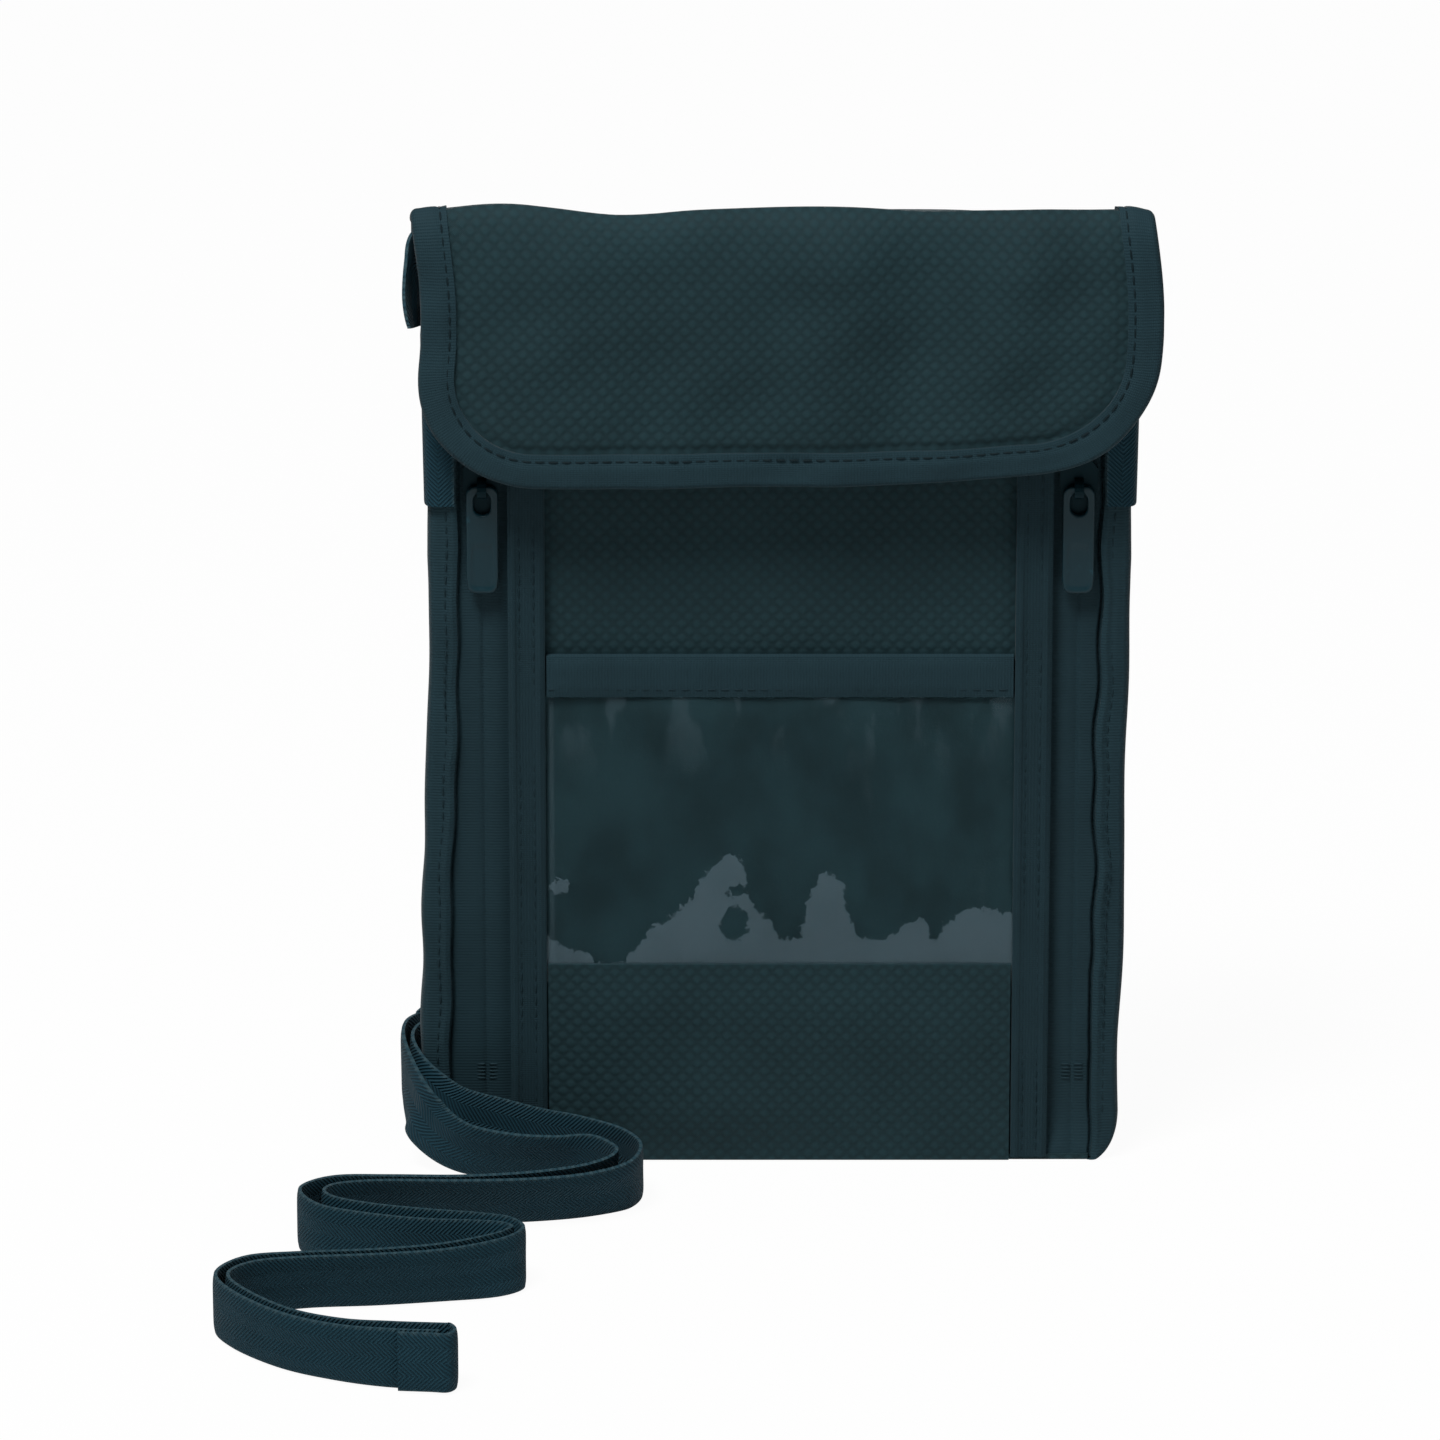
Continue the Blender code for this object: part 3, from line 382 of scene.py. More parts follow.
# The strap's way over the floor as x, y, lean and spread of the strands, then each strand's way from its tab
# behind the pouch to the floor as points and width directions; it follows the solid strap, but for small
# shifts at the left tab
FLOOR_ROUTE = [
    (-0.0340, -0.0205, 0.20, 1.4), (-0.0302, -0.0262, 0.30, 1.1), (-0.0318, -0.0320, 0.40, 1.0),
    (-0.0385, -0.0365, 0.45, 0.9), (-0.0490, -0.0395, 0.45, 0.7), (-0.0620, -0.0408, 0.45, 0.5),
    (-0.0760, -0.0414, 0.40, 0.5), (-0.0868, -0.0450, 0.20, 0.8), (-0.0915, -0.0510, 0.00, 1.0),
    (-0.0885, -0.0570, 0.00, 1.0), (-0.0800, -0.0610, 0.00, 1.0), (-0.0690, -0.0638, 0.00, 1.0),
    (-0.0595, -0.0655, -0.10, 0.8), (-0.0535, -0.0672, -0.15, 0.6), (-0.0512, -0.0710, -0.15, 0.5),
    (-0.0550, -0.0750, 0.00, 0.6), (-0.0650, -0.0782, 0.20, 0.6), (-0.0780, -0.0806, 0.22, 0.5),
    (-0.0920, -0.0820, 0.22, 0.5), (-0.1022, -0.0850, 0.15, 0.6), (-0.1072, -0.0925, 0.05, 0.5),
    (-0.1038, -0.1008, 0.05, 0.5), (-0.0945, -0.1104, 0.10, 0.5), (-0.0840, -0.1158, 0.10, 0.6),
    (-0.0740, -0.1182, 0.00, 0.7), (-0.0645, -0.1190, 0.00, 0.7),
]
RIGHT_STRAND_ROUTE = [
    ((0.0717, 0.0010, 0.1724), (0.0, 1.0, 0.0)),
    ((0.0722, 0.0024, 0.1770), (0.0, 1.0, -0.10)),
    ((0.0721, 0.0056, 0.1815), (0.0, 0.75, -0.65)),
    ((0.0706, 0.0110, 0.1830), (0.0, 0.20, -0.98)),
    ((0.0640, 0.0132, 0.1800), (0.50, 0.0, -0.85)),
    ((0.0500, 0.0128, 0.1690), (0.66, 0.0, -0.75)),
    ((0.0250, 0.0115, 0.1430), (0.72, 0.0, -0.69)),
    ((-0.0050, 0.0110, 0.1080), (0.74, 0.0, -0.67)),
    ((-0.0330, 0.0110, 0.0720), (0.66, 0.0, -0.75)),
    ((-0.0500, 0.0112, 0.0400), (0.62, 0.0, -0.78)),
    ((-0.0600, 0.0116, 0.0240), (0.38, 0.0, -0.92)),
    ((-0.0685, 0.0108, 0.0184), (0.12, 0.0, -0.99)),
    ((-0.0724, 0.0066, 0.0176), (0.03, 0.0, -0.99)),
    ((-0.0730, 0.0000, 0.0172), (0.0, -0.05, -0.99)),
    ((-0.0706, -0.0074, 0.0150), (-0.18, -0.05, -0.98)),
    ((-0.0650, -0.0102, 0.0115), (-0.28, 0.0, -0.96)),
    ((-0.0560, -0.0104, 0.0088), (-0.26, 0.0, -0.96)),
    ((-0.0480, -0.0108, 0.0068), (-0.15, 0.0, -0.98)),
    ((-0.0395, -0.0130, 0.0062), (0.0, 0.05, -1.0)),
]
LEFT_STRAND_ROUTE = [
    ((-0.0712, 0.0010, 0.1724), (0.15, 1.0, 0.0)),
    ((-0.0714, 0.0022, 0.1768), (0.30, 1.0, -0.10)),
    ((-0.0714, 0.0054, 0.1815), (0.25, 0.75, -0.65)),
    ((-0.0710, 0.0110, 0.1835), (0.0, 0.20, -0.98)),
    ((-0.0655, 0.0142, 0.1815), (-0.35, 0.0, -0.93)),
    ((-0.0592, 0.0144, 0.1730), (-0.80, 0.0, -0.60)),
    ((-0.0548, 0.0140, 0.1590), (-0.95, 0.0, -0.30)),
    ((-0.0500, 0.0136, 0.1300), (-1.0, 0.0, -0.10)),
    ((-0.0475, 0.0140, 0.0980), (-1.0, 0.0, 0.12)),
    ((-0.0505, 0.0150, 0.0680), (-0.93, 0.0, 0.37)),
    ((-0.0560, 0.0156, 0.0420), (-0.78, 0.0, 0.62)),
    ((-0.0630, 0.0152, 0.0250), (-0.45, 0.0, 0.89)),
    ((-0.0702, 0.0140, 0.0186), (-0.15, 0.0, 0.99)),
    ((-0.0744, 0.0088, 0.0180), (-0.03, 0.0, 0.99)),
    ((-0.0749, 0.0008, 0.0174), (0.0, 0.0, 0.99)),
    ((-0.0724, -0.0092, 0.0136), (0.15, -0.05, 0.98)),
    ((-0.0690, -0.0130, 0.0096), (0.25, -0.12, 0.96)),
    ((-0.0630, -0.0164, 0.0068), (0.15, -0.25, 0.96)),
    ((-0.0540, -0.0186, 0.0059), (0.05, -0.35, 0.93)),
    ((-0.0440, -0.0200, 0.0058), (0.0, -0.35, 0.93)),
]


class Wire:
    """A shader socket whose arithmetic adds Math nodes."""

    def __init__(self, finish, socket):
        self.finish = finish
        self.socket = socket

    def maths(self, operation, *others):
        """One Math node on this value and others."""
        return self.finish.node("ShaderNodeMath", {"operation": operation}, dict(enumerate((self,) + others)))

    def __add__(self, other):
        return self.maths("ADD", other)

    def __sub__(self, other):
        return self.maths("SUBTRACT", other)

    def __rsub__(self, other):
        return self.finish.node("ShaderNodeMath", {"operation": "SUBTRACT"}, {0: other, 1: self})

    def __mul__(self, other):
        return self.maths("MULTIPLY", other)

    def __truediv__(self, other):
        return self.maths("DIVIDE", other)

    def __abs__(self):
        return self.maths("ABSOLUTE")

    __radd__ = __add__
    __rmul__ = __mul__

    def wave(self, pitch):
        """A sine of this length with a period of pitch, from -1 to 1."""
        return (self * (2 * math.pi / pitch)).maths("SINE")

    def fold(self, pitch):
        """A triangle wave of this length, from 0 to pitch."""
        return self.maths("PINGPONG", pitch)

    def ramp(self, low, high):
        """0 below low, 1 above high, smooth between."""
        return self.finish.node("ShaderNodeMapRange", {"interpolation_type": "SMOOTHSTEP"},
                                {"Value": self, "From Min": low, "From Max": high})


class Finish:
    """A material and the nodes that make it."""

    def __init__(self, name):
        self.material = bpy.data.materials.new(name)
        self.material.use_nodes = True
        self.tree = self.material.node_tree
        self.shader = self.tree.nodes["Principled BSDF"]

    def node(self, kind, settings=None, inputs=None, output=0):
        """Add a node: settings first, then socket values or links; returns one output."""
        made = self.tree.nodes.new(kind)
        for key, value in (settings or {}).items():
            setattr(made, key, value)
        for key, value in (inputs or {}).items():
            self.plug(made.inputs[key], value)
        return Wire(self, made.outputs[output])

    def plug(self, socket, value):
        """Link a wire to a socket, or set its value."""
        if isinstance(value, Wire):
            self.tree.links.new(value.socket, socket)
        else:
            socket.default_value = value

    def set(self, **values):
        """Set Principled sockets; underscores stand for spaces."""
        for key, value in values.items():
            self.plug(self.shader.inputs[key.replace("_", " ")], value)
        return self

    def uv(self):
        """The piece's own flat coordinates in metres: along x and along y."""
        flat = self.node("ShaderNodeUVMap", {"uv_map": "cloth"})
        split = self.node("ShaderNodeSeparateXYZ", {}, {0: flat})
        return split, Wire(self, split.socket.node.outputs[1])

    def noise(self, scale, detail=3.0, roughness=0.55, place=None):
        """Soft noise over the piece's own coordinates, or over a place given, 0 to 1."""
        place = place or self.node("ShaderNodeTexCoord", output="Object")
        return self.node("ShaderNodeTexNoise", {},
                         {"Vector": place, "Scale": scale, "Detail": detail, "Roughness": roughness})

    def mix(self, factor, first, second):
        """Blend two colours."""
        made = self.tree.nodes.new("ShaderNodeMix")
        made.data_type = "RGBA"
        colour_in = [socket for socket in made.inputs if socket.type == "RGBA"]
        self.plug(made.inputs[0], factor)
        for socket, value in zip(colour_in, (first, second)):
            self.plug(socket, value if isinstance(value, Wire) else (*value, 1.0))
        colour_out = [socket for socket in made.outputs if socket.type == "RGBA"][0]
        return Wire(self, colour_out)

    def tint(self, tone, colour, dark, pale):
        """A colour between a dark and a pale shade of itself, as tone goes from 0 to 1."""
        return self.mix(tone, shade(colour, dark), shade(colour, pale))

    def bump(self, height, distance, strength=1.0):
        """A surface normal raised by a height of 0 to 1 times a distance."""
        normal = self.node("ShaderNodeBump", {},
                           {"Height": height, "Distance": distance, "Strength": strength})
        self.plug(self.shader.inputs["Normal"], normal)
        return self


def shade(colour, factor):
    """A colour made lighter or darker."""
    return tuple(channel * factor for channel in colour)


def dobby_cloth(name, colour):
    """Shell cloth: yarns in two directions and raised dots between two sets of diagonal furrows."""
    made = Finish(name)
    along, up = made.uv()
    first = abs((along + up).wave(DIAMOND_PITCH * math.sqrt(2)))
    second = abs((along - up).wave(DIAMOND_PITCH * math.sqrt(2)))
    grid = (first * second).ramp(0.05, 0.95)
    yarn = along.wave(YARN_PITCH) * up.wave(YARN_PITCH)
    blotch = made.noise(scale=60.0)
    fine = made.noise(scale=900.0, detail=2.0)
    tone = grid * 0.30 + blotch * 0.45 + fine * 0.25
    made.set(Base_Color=made.tint(tone, colour, dark=0.60, pale=1.52), Roughness=0.66 + grid * 0.10,
             Sheen_Weight=0.04, Sheen_Roughness=0.45, Specular_IOR_Level=MATT_SPECULAR)
    return made.bump(grid * 0.75 + yarn * 0.15 + fine * 0.1, distance=0.00016)


def woven_tape(name, colour):
    """Binding tape: fine cross ribs with soft wear."""
    made = Finish(name)
    along, across = made.uv()
    rib = along.wave(TAPE_PITCH) * 0.5 + 0.5
    yarn = across.wave(YARN_PITCH) * 0.5 + 0.5
    blotch = made.noise(scale=90.0)
    tone = rib * 0.25 + yarn * 0.15 + blotch * 0.6
    made.set(Base_Color=made.tint(tone, colour, dark=0.75, pale=1.28), Roughness=0.74,
             Sheen_Weight=0.04, Sheen_Roughness=0.4, Specular_IOR_Level=MATT_SPECULAR)
    return made.bump(rib * 0.6 + yarn * 0.4, distance=0.00010, strength=0.8)


def herringbone(name, colour):
    """Strap webbing: diagonal ribs that turn back at every column, with paler looped selvedges.

    The selvedges' pale tint is partly real yarn and partly a painted highlight along the strap's edges.
    """
    made = Finish(name)
    along, across = made.uv()
    slant = across.fold(TWILL_COLUMN)
    rib = (along + slant).wave(TWILL_PITCH) * 0.5 + 0.5
    edge = abs(across - STRAP_WIDTH / 2).ramp(STRAP_WIDTH * 0.44, STRAP_WIDTH * 0.5)
    loop = along.wave(SELVEDGE_PITCH) * 0.5 + 0.5
    blotch = made.noise(scale=120.0)
    ground = made.tint(rib * 0.55 + blotch * 0.3, colour, dark=0.64, pale=1.62)
    # The selvedges' pale tint is partly a painted highlight along the strap's edges
    made.set(Base_Color=made.mix(edge * (0.25 + loop * 0.75), ground, SELVEDGE_AND_HIGHLIGHT), Roughness=0.72,
             Sheen_Weight=0.02, Sheen_Roughness=0.4, Specular_IOR_Level=WEBBING_SPECULAR)
    return made.bump(rib, distance=0.00025, strength=0.75)


def smooth_tape(name, colour):
    """Zip tape: very fine weave, almost smooth."""
    made = Finish(name)
    _, across = made.uv()
    rib = across.wave(TAPE_PITCH) * 0.5 + 0.5
    blotch = made.noise(scale=70.0)
    made.set(Base_Color=made.tint(rib * 0.2 + blotch * 0.8, colour, dark=0.80, pale=1.22), Roughness=0.68,
             Sheen_Weight=0.03, Sheen_Roughness=0.4, Specular_IOR_Level=MATT_SPECULAR)
    return made.bump(rib, distance=0.00006, strength=0.6)


def plain_cloth(name, colour):
    """Plain cloth behind the window: soft upright blotches of two tints over a fine grain."""
    made = Finish(name)
    along, up = made.uv()
    place = made.node("ShaderNodeCombineXYZ", {}, {0: along, 1: up * 0.6})
    blotch = made.noise(scale=75.0, detail=4.0, roughness=0.6, place=place)
    grain = made.noise(scale=1800.0, detail=2.0)
    tone = blotch.ramp(0.35, 0.65) * 0.8 + grain * 0.2
    made.set(Base_Color=made.tint(tone, colour, dark=0.72, pale=1.20), Roughness=0.75,
             Specular_IOR_Level=MATT_SPECULAR)
    return made.bump(grain, distance=0.00004, strength=0.5)


def clear_film(name):
    """Soft clear film: see-through and glossy, with torn-edged pale patches of painted reflection.

    A line of heights is read off along the window and the painted reflection is pale below it; holes
    are taken out, spots are added, and noise shifts the place that all of them are read at. Pale smears
    near the top and a pale line along the left edge are painted reflection and painted highlight too.
    """
    made = Finish(name)
    along, up = made.uv()
    torn = made.noise(scale=650.0, detail=4.0, roughness=0.65)
    place = made.node("ShaderNodeCombineXYZ", {}, {0: up, 1: along})
    ragged = made.noise(scale=800.0, detail=4.0, roughness=0.65, place=place)
    across = along + (torn - 0.5) * REFLECTION_TEAR
    height = up + (ragged - 0.5) * REFLECTION_TEAR
    line = made.node("ShaderNodeValToRGB", {}, {0: across / (2 * FILM_HALF_WIDTH) + 0.5})
    stops = line.socket.node.color_ramp.elements
    top = max(level for _, level in REFLECTION_LINE)
    for share, _ in REFLECTION_LINE[1:-1]:
        stops.new(share)
    for stop, (share, level) in zip(stops, REFLECTION_LINE):
        stop.position = share
        stop.color = (level / top, level / top, level / top, 1.0)
    reflection_patch = (line * (top * MILLIMETRE) - height).ramp(-REFLECTION_SOFTNESS, REFLECTION_SOFTNESS)
    for spots, inside in ((REFLECTION_HOLES, False), (REFLECTION_SPOTS, True)):
        for x, z, half_x, half_z in spots:
            aside = (across - x * MILLIMETRE) / (half_x * MILLIMETRE)
            over = (height - z * MILLIMETRE) / (half_z * MILLIMETRE)
            beyond = (aside * aside + over * over).ramp(*SPOT_SOFTNESS)
            reflection_patch = reflection_patch.maths("MAXIMUM", 1.0 - beyond) if inside else reflection_patch.maths("MINIMUM", beyond)
    broad = made.noise(scale=60.0, detail=3.0, roughness=0.55)
    place = made.node("ShaderNodeCombineXYZ", {}, {0: along, 1: up * 0.30})
    streak = made.noise(scale=130.0, detail=3.0, roughness=0.55, place=place)
    # Painted reflection in pale smears near the top, and a painted highlight in a pale line along the left
    # edge
    reflection_smear = streak.ramp(0.52, 0.60) * up.ramp(*REFLECTION_SMEAR_HEIGHTS) + streak.ramp(0.60, 0.72) * 0.35
    margin = 1.0 - abs(along + FILM_HALF_WIDTH - EDGE_HIGHLIGHT_INSET).ramp(*EDGE_HIGHLIGHT_HALF)
    # The film's alpha carries the painted reflections and the painted highlight in the pale tint
    painted_reflection = reflection_patch * (0.16 + broad * 0.24) + reflection_smear * 0.08 + margin * 0.07
    made.set(Base_Color=(*REFLECTION_TINT, 1.0), Roughness=0.12 + torn * 0.08, Alpha=0.004 + painted_reflection,
             Specular_IOR_Level=FILM_SPECULAR)
    return made.bump(broad * 0.6 + streak * 0.4, distance=0.0004, strength=0.3)


def painted_metal(name, colour, specular=PAINT_SPECULAR):
    """Satin paint over cast metal, rubbed pale here and there."""
    made = Finish(name)
    rub = made.noise(scale=300.0, detail=4.0).ramp(0.62, 0.78)
    grain = made.noise(scale=1500.0, detail=2.0)
    paint = made.tint(rub, colour, dark=1.0, pale=2.4)
    made.set(Base_Color=paint, Roughness=0.34 + grain * 0.12, Metallic=0.1, Specular_IOR_Level=specular)
    return made.bump(grain, distance=0.00003, strength=0.5)


def thread(name, colour):
    """Sewing thread: fine flecks of a darker and a lighter tone."""
    made = Finish(name)
    fine = made.noise(scale=2500.0, detail=2.0)
    made.set(Base_Color=made.tint(fine, colour, dark=0.7, pale=1.2), Roughness=0.7,
             Specular_IOR_Level=MATT_SPECULAR)
    return made.bump(fine, distance=0.00005, strength=0.6)


def shield_cloth(name, colour):
    """Metallised lining: a fine ripstop check with a soft metal sheen."""
    made = Finish(name)
    along, up = made.uv()
    check = abs(along.wave(RIPSTOP_PITCH)).maths("MINIMUM", abs(up.wave(RIPSTOP_PITCH))).ramp(0.0, 0.2)
    fine = made.noise(scale=400.0)
    made.set(Base_Color=made.tint(fine * 0.6 + check * 0.4, colour, dark=0.8, pale=1.15), Metallic=0.55,
             Roughness=0.42 + fine * 0.15)
    return made.bump(check, distance=0.00008, strength=0.7)


def tufted_tape(name, colour):
    """Hook-and-loop tape: dense little tufts."""
    made = Finish(name)
    tuft = made.noise(scale=1400.0, detail=2.0, roughness=0.7)
    made.set(Base_Color=made.tint(tuft, colour, dark=0.5, pale=1.1), Roughness=0.9, Sheen_Weight=0.04)
    return made.bump(tuft, distance=0.0006)


FINISHES = {
    "shell_cloth": dobby_cloth("dobby_cloth", CLOTH),
    "binding_tape": woven_tape("woven_tape", TAPE),
    # The stay tape is a darker copy of the binding tape: painted shade
    "stay_tape": woven_tape("woven_stay_tape_painted_shade", shade(TAPE, STAY_TAPE_PAINTED_SHADE)),
    "webbing": herringbone("herringbone_webbing", WEBBING),
    "zip_tape": smooth_tape("smooth_zip_tape", shade(TAPE, ZIP_TAPE_SHADE)),
    "backing_cloth": plain_cloth("plain_backing_cloth", CLOTH),
    "clear_film": clear_film("clear_film"),
    "painted_metal": painted_metal("painted_metal", METAL),
    # The slider is a darker copy of the painted metal: painted shade under the flap's edge
    "slider_paint_painted_shade": painted_metal("slider_paint_painted_shade", shade(METAL, SLIDER_PAINTED_SHADE), SLIDER_SPECULAR),
    "thread": thread("sewing_thread", THREAD),
    "tape_thread": thread("tape_sewing_thread", shade(TAPE, TAPE_THREAD_SHADE)),
    "shield_cloth": shield_cloth("shield_cloth", SHIELD),
    "hook_and_loop": tufted_tape("hook_and_loop_tape", TAPE),
    "zip_coil": painted_metal("moulded_coil", TAPE),
}


def unit(vectors):
    """Vectors brought to length 1."""
    return vectors / np.linalg.norm(vectors, axis=-1, keepdims=True)


def travelled(points):
    """Length run along a line of points, from 0 at the first."""
    return np.concatenate([[0], np.cumsum(np.linalg.norm(np.diff(points, axis=0), axis=1))])


def spots_along(points, run, places):
    """Points of a line at given lengths along it."""
    return np.stack([np.interp(places, run, column) for column in points.T], axis=-1)


def ripple(x, z, seed, wavelength, terms=6):
    """Soft unevenness, about -1 to 1: a sum of plane sine waves of seeded direction and phase."""
    draw = np.random.default_rng(seed)
    total = np.zeros_like(x)
    for _ in range(terms):
        angle = draw.uniform(0, math.pi)
        length = wavelength * draw.uniform(*RIPPLE_SPREAD)
        phase = draw.uniform(0, 2 * math.pi)
        total = total + np.sin((x * math.cos(angle) + z * math.sin(angle)) * 2 * math.pi / length + phase)
    return total / math.sqrt(terms * 2)


def bump_at(values, centre, width):
    """A smooth bell of height 1 round a centre."""
    return np.exp(-((values - centre) / width) ** 2)


def bells(values, table):
    """A sum of bells given as height, centre and half width."""
    return sum(height * bump_at(values, centre, width) for height, centre, width in table)


def ease(values):
    """0 below 0, 1 above 1 and a smooth step between."""
    share = np.clip(values, 0, 1)
    return share * share * (3 - 2 * share)


def fade(values, low, high, margin):
    """1 in the middle of a range, falling smoothly to 0 at both ends over a margin."""
    return ease(np.clip((values - low) / margin, 0, 1) * np.clip((high - values) / margin, 0, 1))


def build(name, verts, faces, flat, finish, sharp=SHARP_ANGLE):
    """A mesh piece from points, a list of faces and flat cloth coordinates, with faces turned outwards."""
    mesh = bpy.data.meshes.new(name)
    mesh.from_pydata(verts.tolist(), [], faces)
    mesh.update()
    layer = mesh.uv_layers.new(name="cloth")
    corner = np.empty(len(mesh.loops), dtype=np.int64)
    mesh.loops.foreach_get("vertex_index", corner)
    layer.data.foreach_set("uv", flat[corner].astype(np.float32).ravel())
    shape = bmesh.new()
    shape.from_mesh(mesh)
    bmesh.ops.recalc_face_normals(shape, faces=shape.faces)
    shape.to_mesh(mesh)
    shape.free()
    mesh.shade_smooth()
    mesh.set_sharp_from_angle(angle=math.radians(sharp))
    piece = bpy.data.objects.new(name, mesh)
    bpy.context.scene.collection.objects.link(piece)
    mesh.materials.append(FINISHES[finish].material)
    return piece


def dress(piece, body, finish, *nodes):
    """Hang a piece on its body and the CAD nodes that it stands for.

    Cloth that crosses the flap's fold has both bodies' names; its place is baked into its mesh and
    it hangs on neither body.
    """
    if body == FOLD_BODIES:
        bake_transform(piece)
    else:
        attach(piece, body)
    if nodes:
        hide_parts(*nodes)
    return piece


def repaint(node, finish):
    """Give a CAD node that stays in view a finish."""
    slots = NODES[node].data.materials
    slots.clear()
    slots.append(FINISHES[finish].material)


def grid_faces(rows, columns, start=0, around=False):
    """Quads of a rows by columns grid; around joins the last column to the first."""
    index = np.arange(rows * columns).reshape(rows, columns) + start
    if around:
        index = np.concatenate([index, index[:, :1]], axis=1)
    return np.stack([index[:-1, :-1], index[:-1, 1:], index[1:, 1:], index[1:, :-1]], axis=-1).reshape(-1, 4)


def slab(name, front, back, flat, finish):
    """A closed sheet: a front grid, a back grid and a rim that joins their borders."""
    rows, columns = front.shape[:2]
    count = rows * columns
    index = np.arange(count).reshape(rows, columns)
    border = np.concatenate([index[0, :-1], index[:-1, -1], index[-1, :0:-1], index[:0:-1, 0]])
    after = np.roll(border, -1)
    rim = np.stack([border, after, after + count, border + count], axis=-1)
    faces = np.concatenate([grid_faces(rows, columns), grid_faces(rows, columns, count)[:, ::-1], rim])
    verts = np.concatenate([front.reshape(-1, 3), back.reshape(-1, 3)])
    return build(name, verts, faces.tolist(), np.concatenate([flat.reshape(-1, 2)] * 2), finish)


def tube(name, rings, flat, finish):
    """A closed skin over rings of points, one ring a row, with a flat cap at each end."""
    rows, columns = rings.shape[:2]
    count = rows * columns
    first = np.arange(columns)
    last = first + (rows - 1) * columns
    low = np.stack([first, np.roll(first, -1), np.full(columns, count)], axis=-1)
    high = np.stack([np.roll(last, -1), last, np.full(columns, count + 1)], axis=-1)
    faces = grid_faces(rows, columns, around=True).tolist() + low.tolist() + high.tolist()
    verts = np.concatenate([rings.reshape(-1, 3), [rings[0].mean(axis=0)], [rings[-1].mean(axis=0)]])
    coords = np.concatenate([flat.reshape(-1, 2), flat[0, :1], flat[-1, :1]])
    return build(name, verts, faces, coords, finish)


def stitches(name, lines, body, inward=(0.0, 1.0, 0.0), finish="thread"):
    """Rows of stitches: short capsules at a steady pitch along each line, half sunk in the cloth.

    A line is an array of points; each capsule's axis follows the line there.
    """
    centres, axes = [], []
    for line in lines:
        run = travelled(line)
        places = np.arange(STITCH_PITCH / 2, run[-1], STITCH_PITCH)
        ahead = spots_along(line, run, places + STITCH_PITCH * STITCH_AIM)
        behind = spots_along(line, run, places - STITCH_PITCH * STITCH_AIM)
        centres.append(spots_along(line, run, places))
        axes.append(unit(ahead - behind))
    centre, axis = np.concatenate(centres), np.concatenate(axes)
    depth = np.broadcast_to(np.array(inward), centre.shape)
    side = unit(np.cross(axis, depth))
    around = np.linspace(0, 2 * math.pi, STITCH_SIDES, endpoint=False)[:, None, None]
    ring = (np.cos(around) * side + np.sin(around) * depth) * STITCH_RADIUS
    rows = (centre + axis * (STITCH_STATIONS * STITCH_LENGTH)[:, None, None, None]
            + ring * STITCH_SWELL[:, None, None, None])
    verts = rows.transpose(2, 0, 1, 3)
    count, stages, sides = verts.shape[:3]
    base = (np.arange(count) * stages * sides)[:, None]
    walls = (grid_faces(stages, sides, around=True) + base[..., None]).reshape(-1, 4)
    lids = [base + np.arange(sides)[::-1], base + np.arange(sides) + (stages - 1) * sides]
    faces = walls.tolist() + np.concatenate(lids).tolist()
    flat = np.zeros((count * stages * sides, 2))
    return dress(build(name, verts.reshape(-1, 3), faces, flat, finish, STITCH_SHARP_ANGLE), body, finish)


def line_z(x, y, low, high, count=90):
    """An upright line of points."""
    z = np.linspace(low, high, count)
    return np.stack([np.full_like(z, x), np.full_like(z, y), z], axis=-1)


def line_x(y, z, low, high, count=60):
    """A level line of points."""
    x = np.linspace(low, high, count)
    return np.stack([x, np.full_like(x, y), np.full_like(x, z)], axis=-1)


def side_inset(heights, side):
    """How far a side edge lies inside the pouch's half width.

    It is drawn in by a ramp to the foot, a bell at the waist and a ramp at the tab, and rounded at the
    corner by a quarter ellipse.
    """
    foot = SIDE_DRAW[side] * np.clip((SIDE_DRAW_TOP - heights) / SIDE_DRAW_RUN, 0, 1)
    waist = SIDE_WAIST * bump_at(heights, WAIST_HEIGHT, WAIST_SPREAD)
    tab = TAB_DRAW * np.clip((heights - TAB_DRAW_FOOT) / TAB_DRAW_RUN, 0, 1)
    below = np.clip(1 - heights / CORNER_HEIGHT, 0, 1)
    return foot + waist + tab + CORNER_WIDTH * (1 - np.sqrt(1 - below ** 2))


def binding_edge(heights, side):
    """How far from the middle a side binding's inner edge runs.

    It goes with the side edge, in two sine waves, and stays clear of the zip slider.
    """
    near = np.abs(np.array(box("side_binding_" + side))[:, 0]).min()
    slider = np.abs(np.array(box("zip_slider_" + side))[:, 0]).max()
    waver = sum(np.sin(2 * math.pi * heights / pitch) for pitch in EDGE_PITCHES) * EDGE_WAVER[side]
    inset = side_inset(np.maximum(heights, CORNER_HEIGHT), side)
    return np.maximum(near + BINDING_TRIM - inset + waver, slider + SLIDER_CLEARANCE)


def draw_in(x, z, anchor, far, margin, tuck=None):
    """x with what lies from an anchor out to a far edge pressed together.

    It ends a margin inside the side edge and, with a tuck, that far under the side binding's inner edge.
    """
    way = math.copysign(1.0, far - anchor)
    side = "right" if way > 0 else "left"
    reach = np.minimum(abs(far), HALF_WIDTH - side_inset(z, side) - margin)
    if tuck is not None:
        reach = np.minimum(reach, binding_edge(z, side) + tuck)
    pressed = anchor + (x - anchor) * (way * reach - anchor) / (far - anchor)
    return np.where((x - anchor) * way > 0, pressed, x)


def foot_lean(heights):
    """The share of a layer's lean towards the front where all layers come together at the foot."""
    return np.clip(1 - heights / FOOT_HEIGHT, 0, 1) ** 2


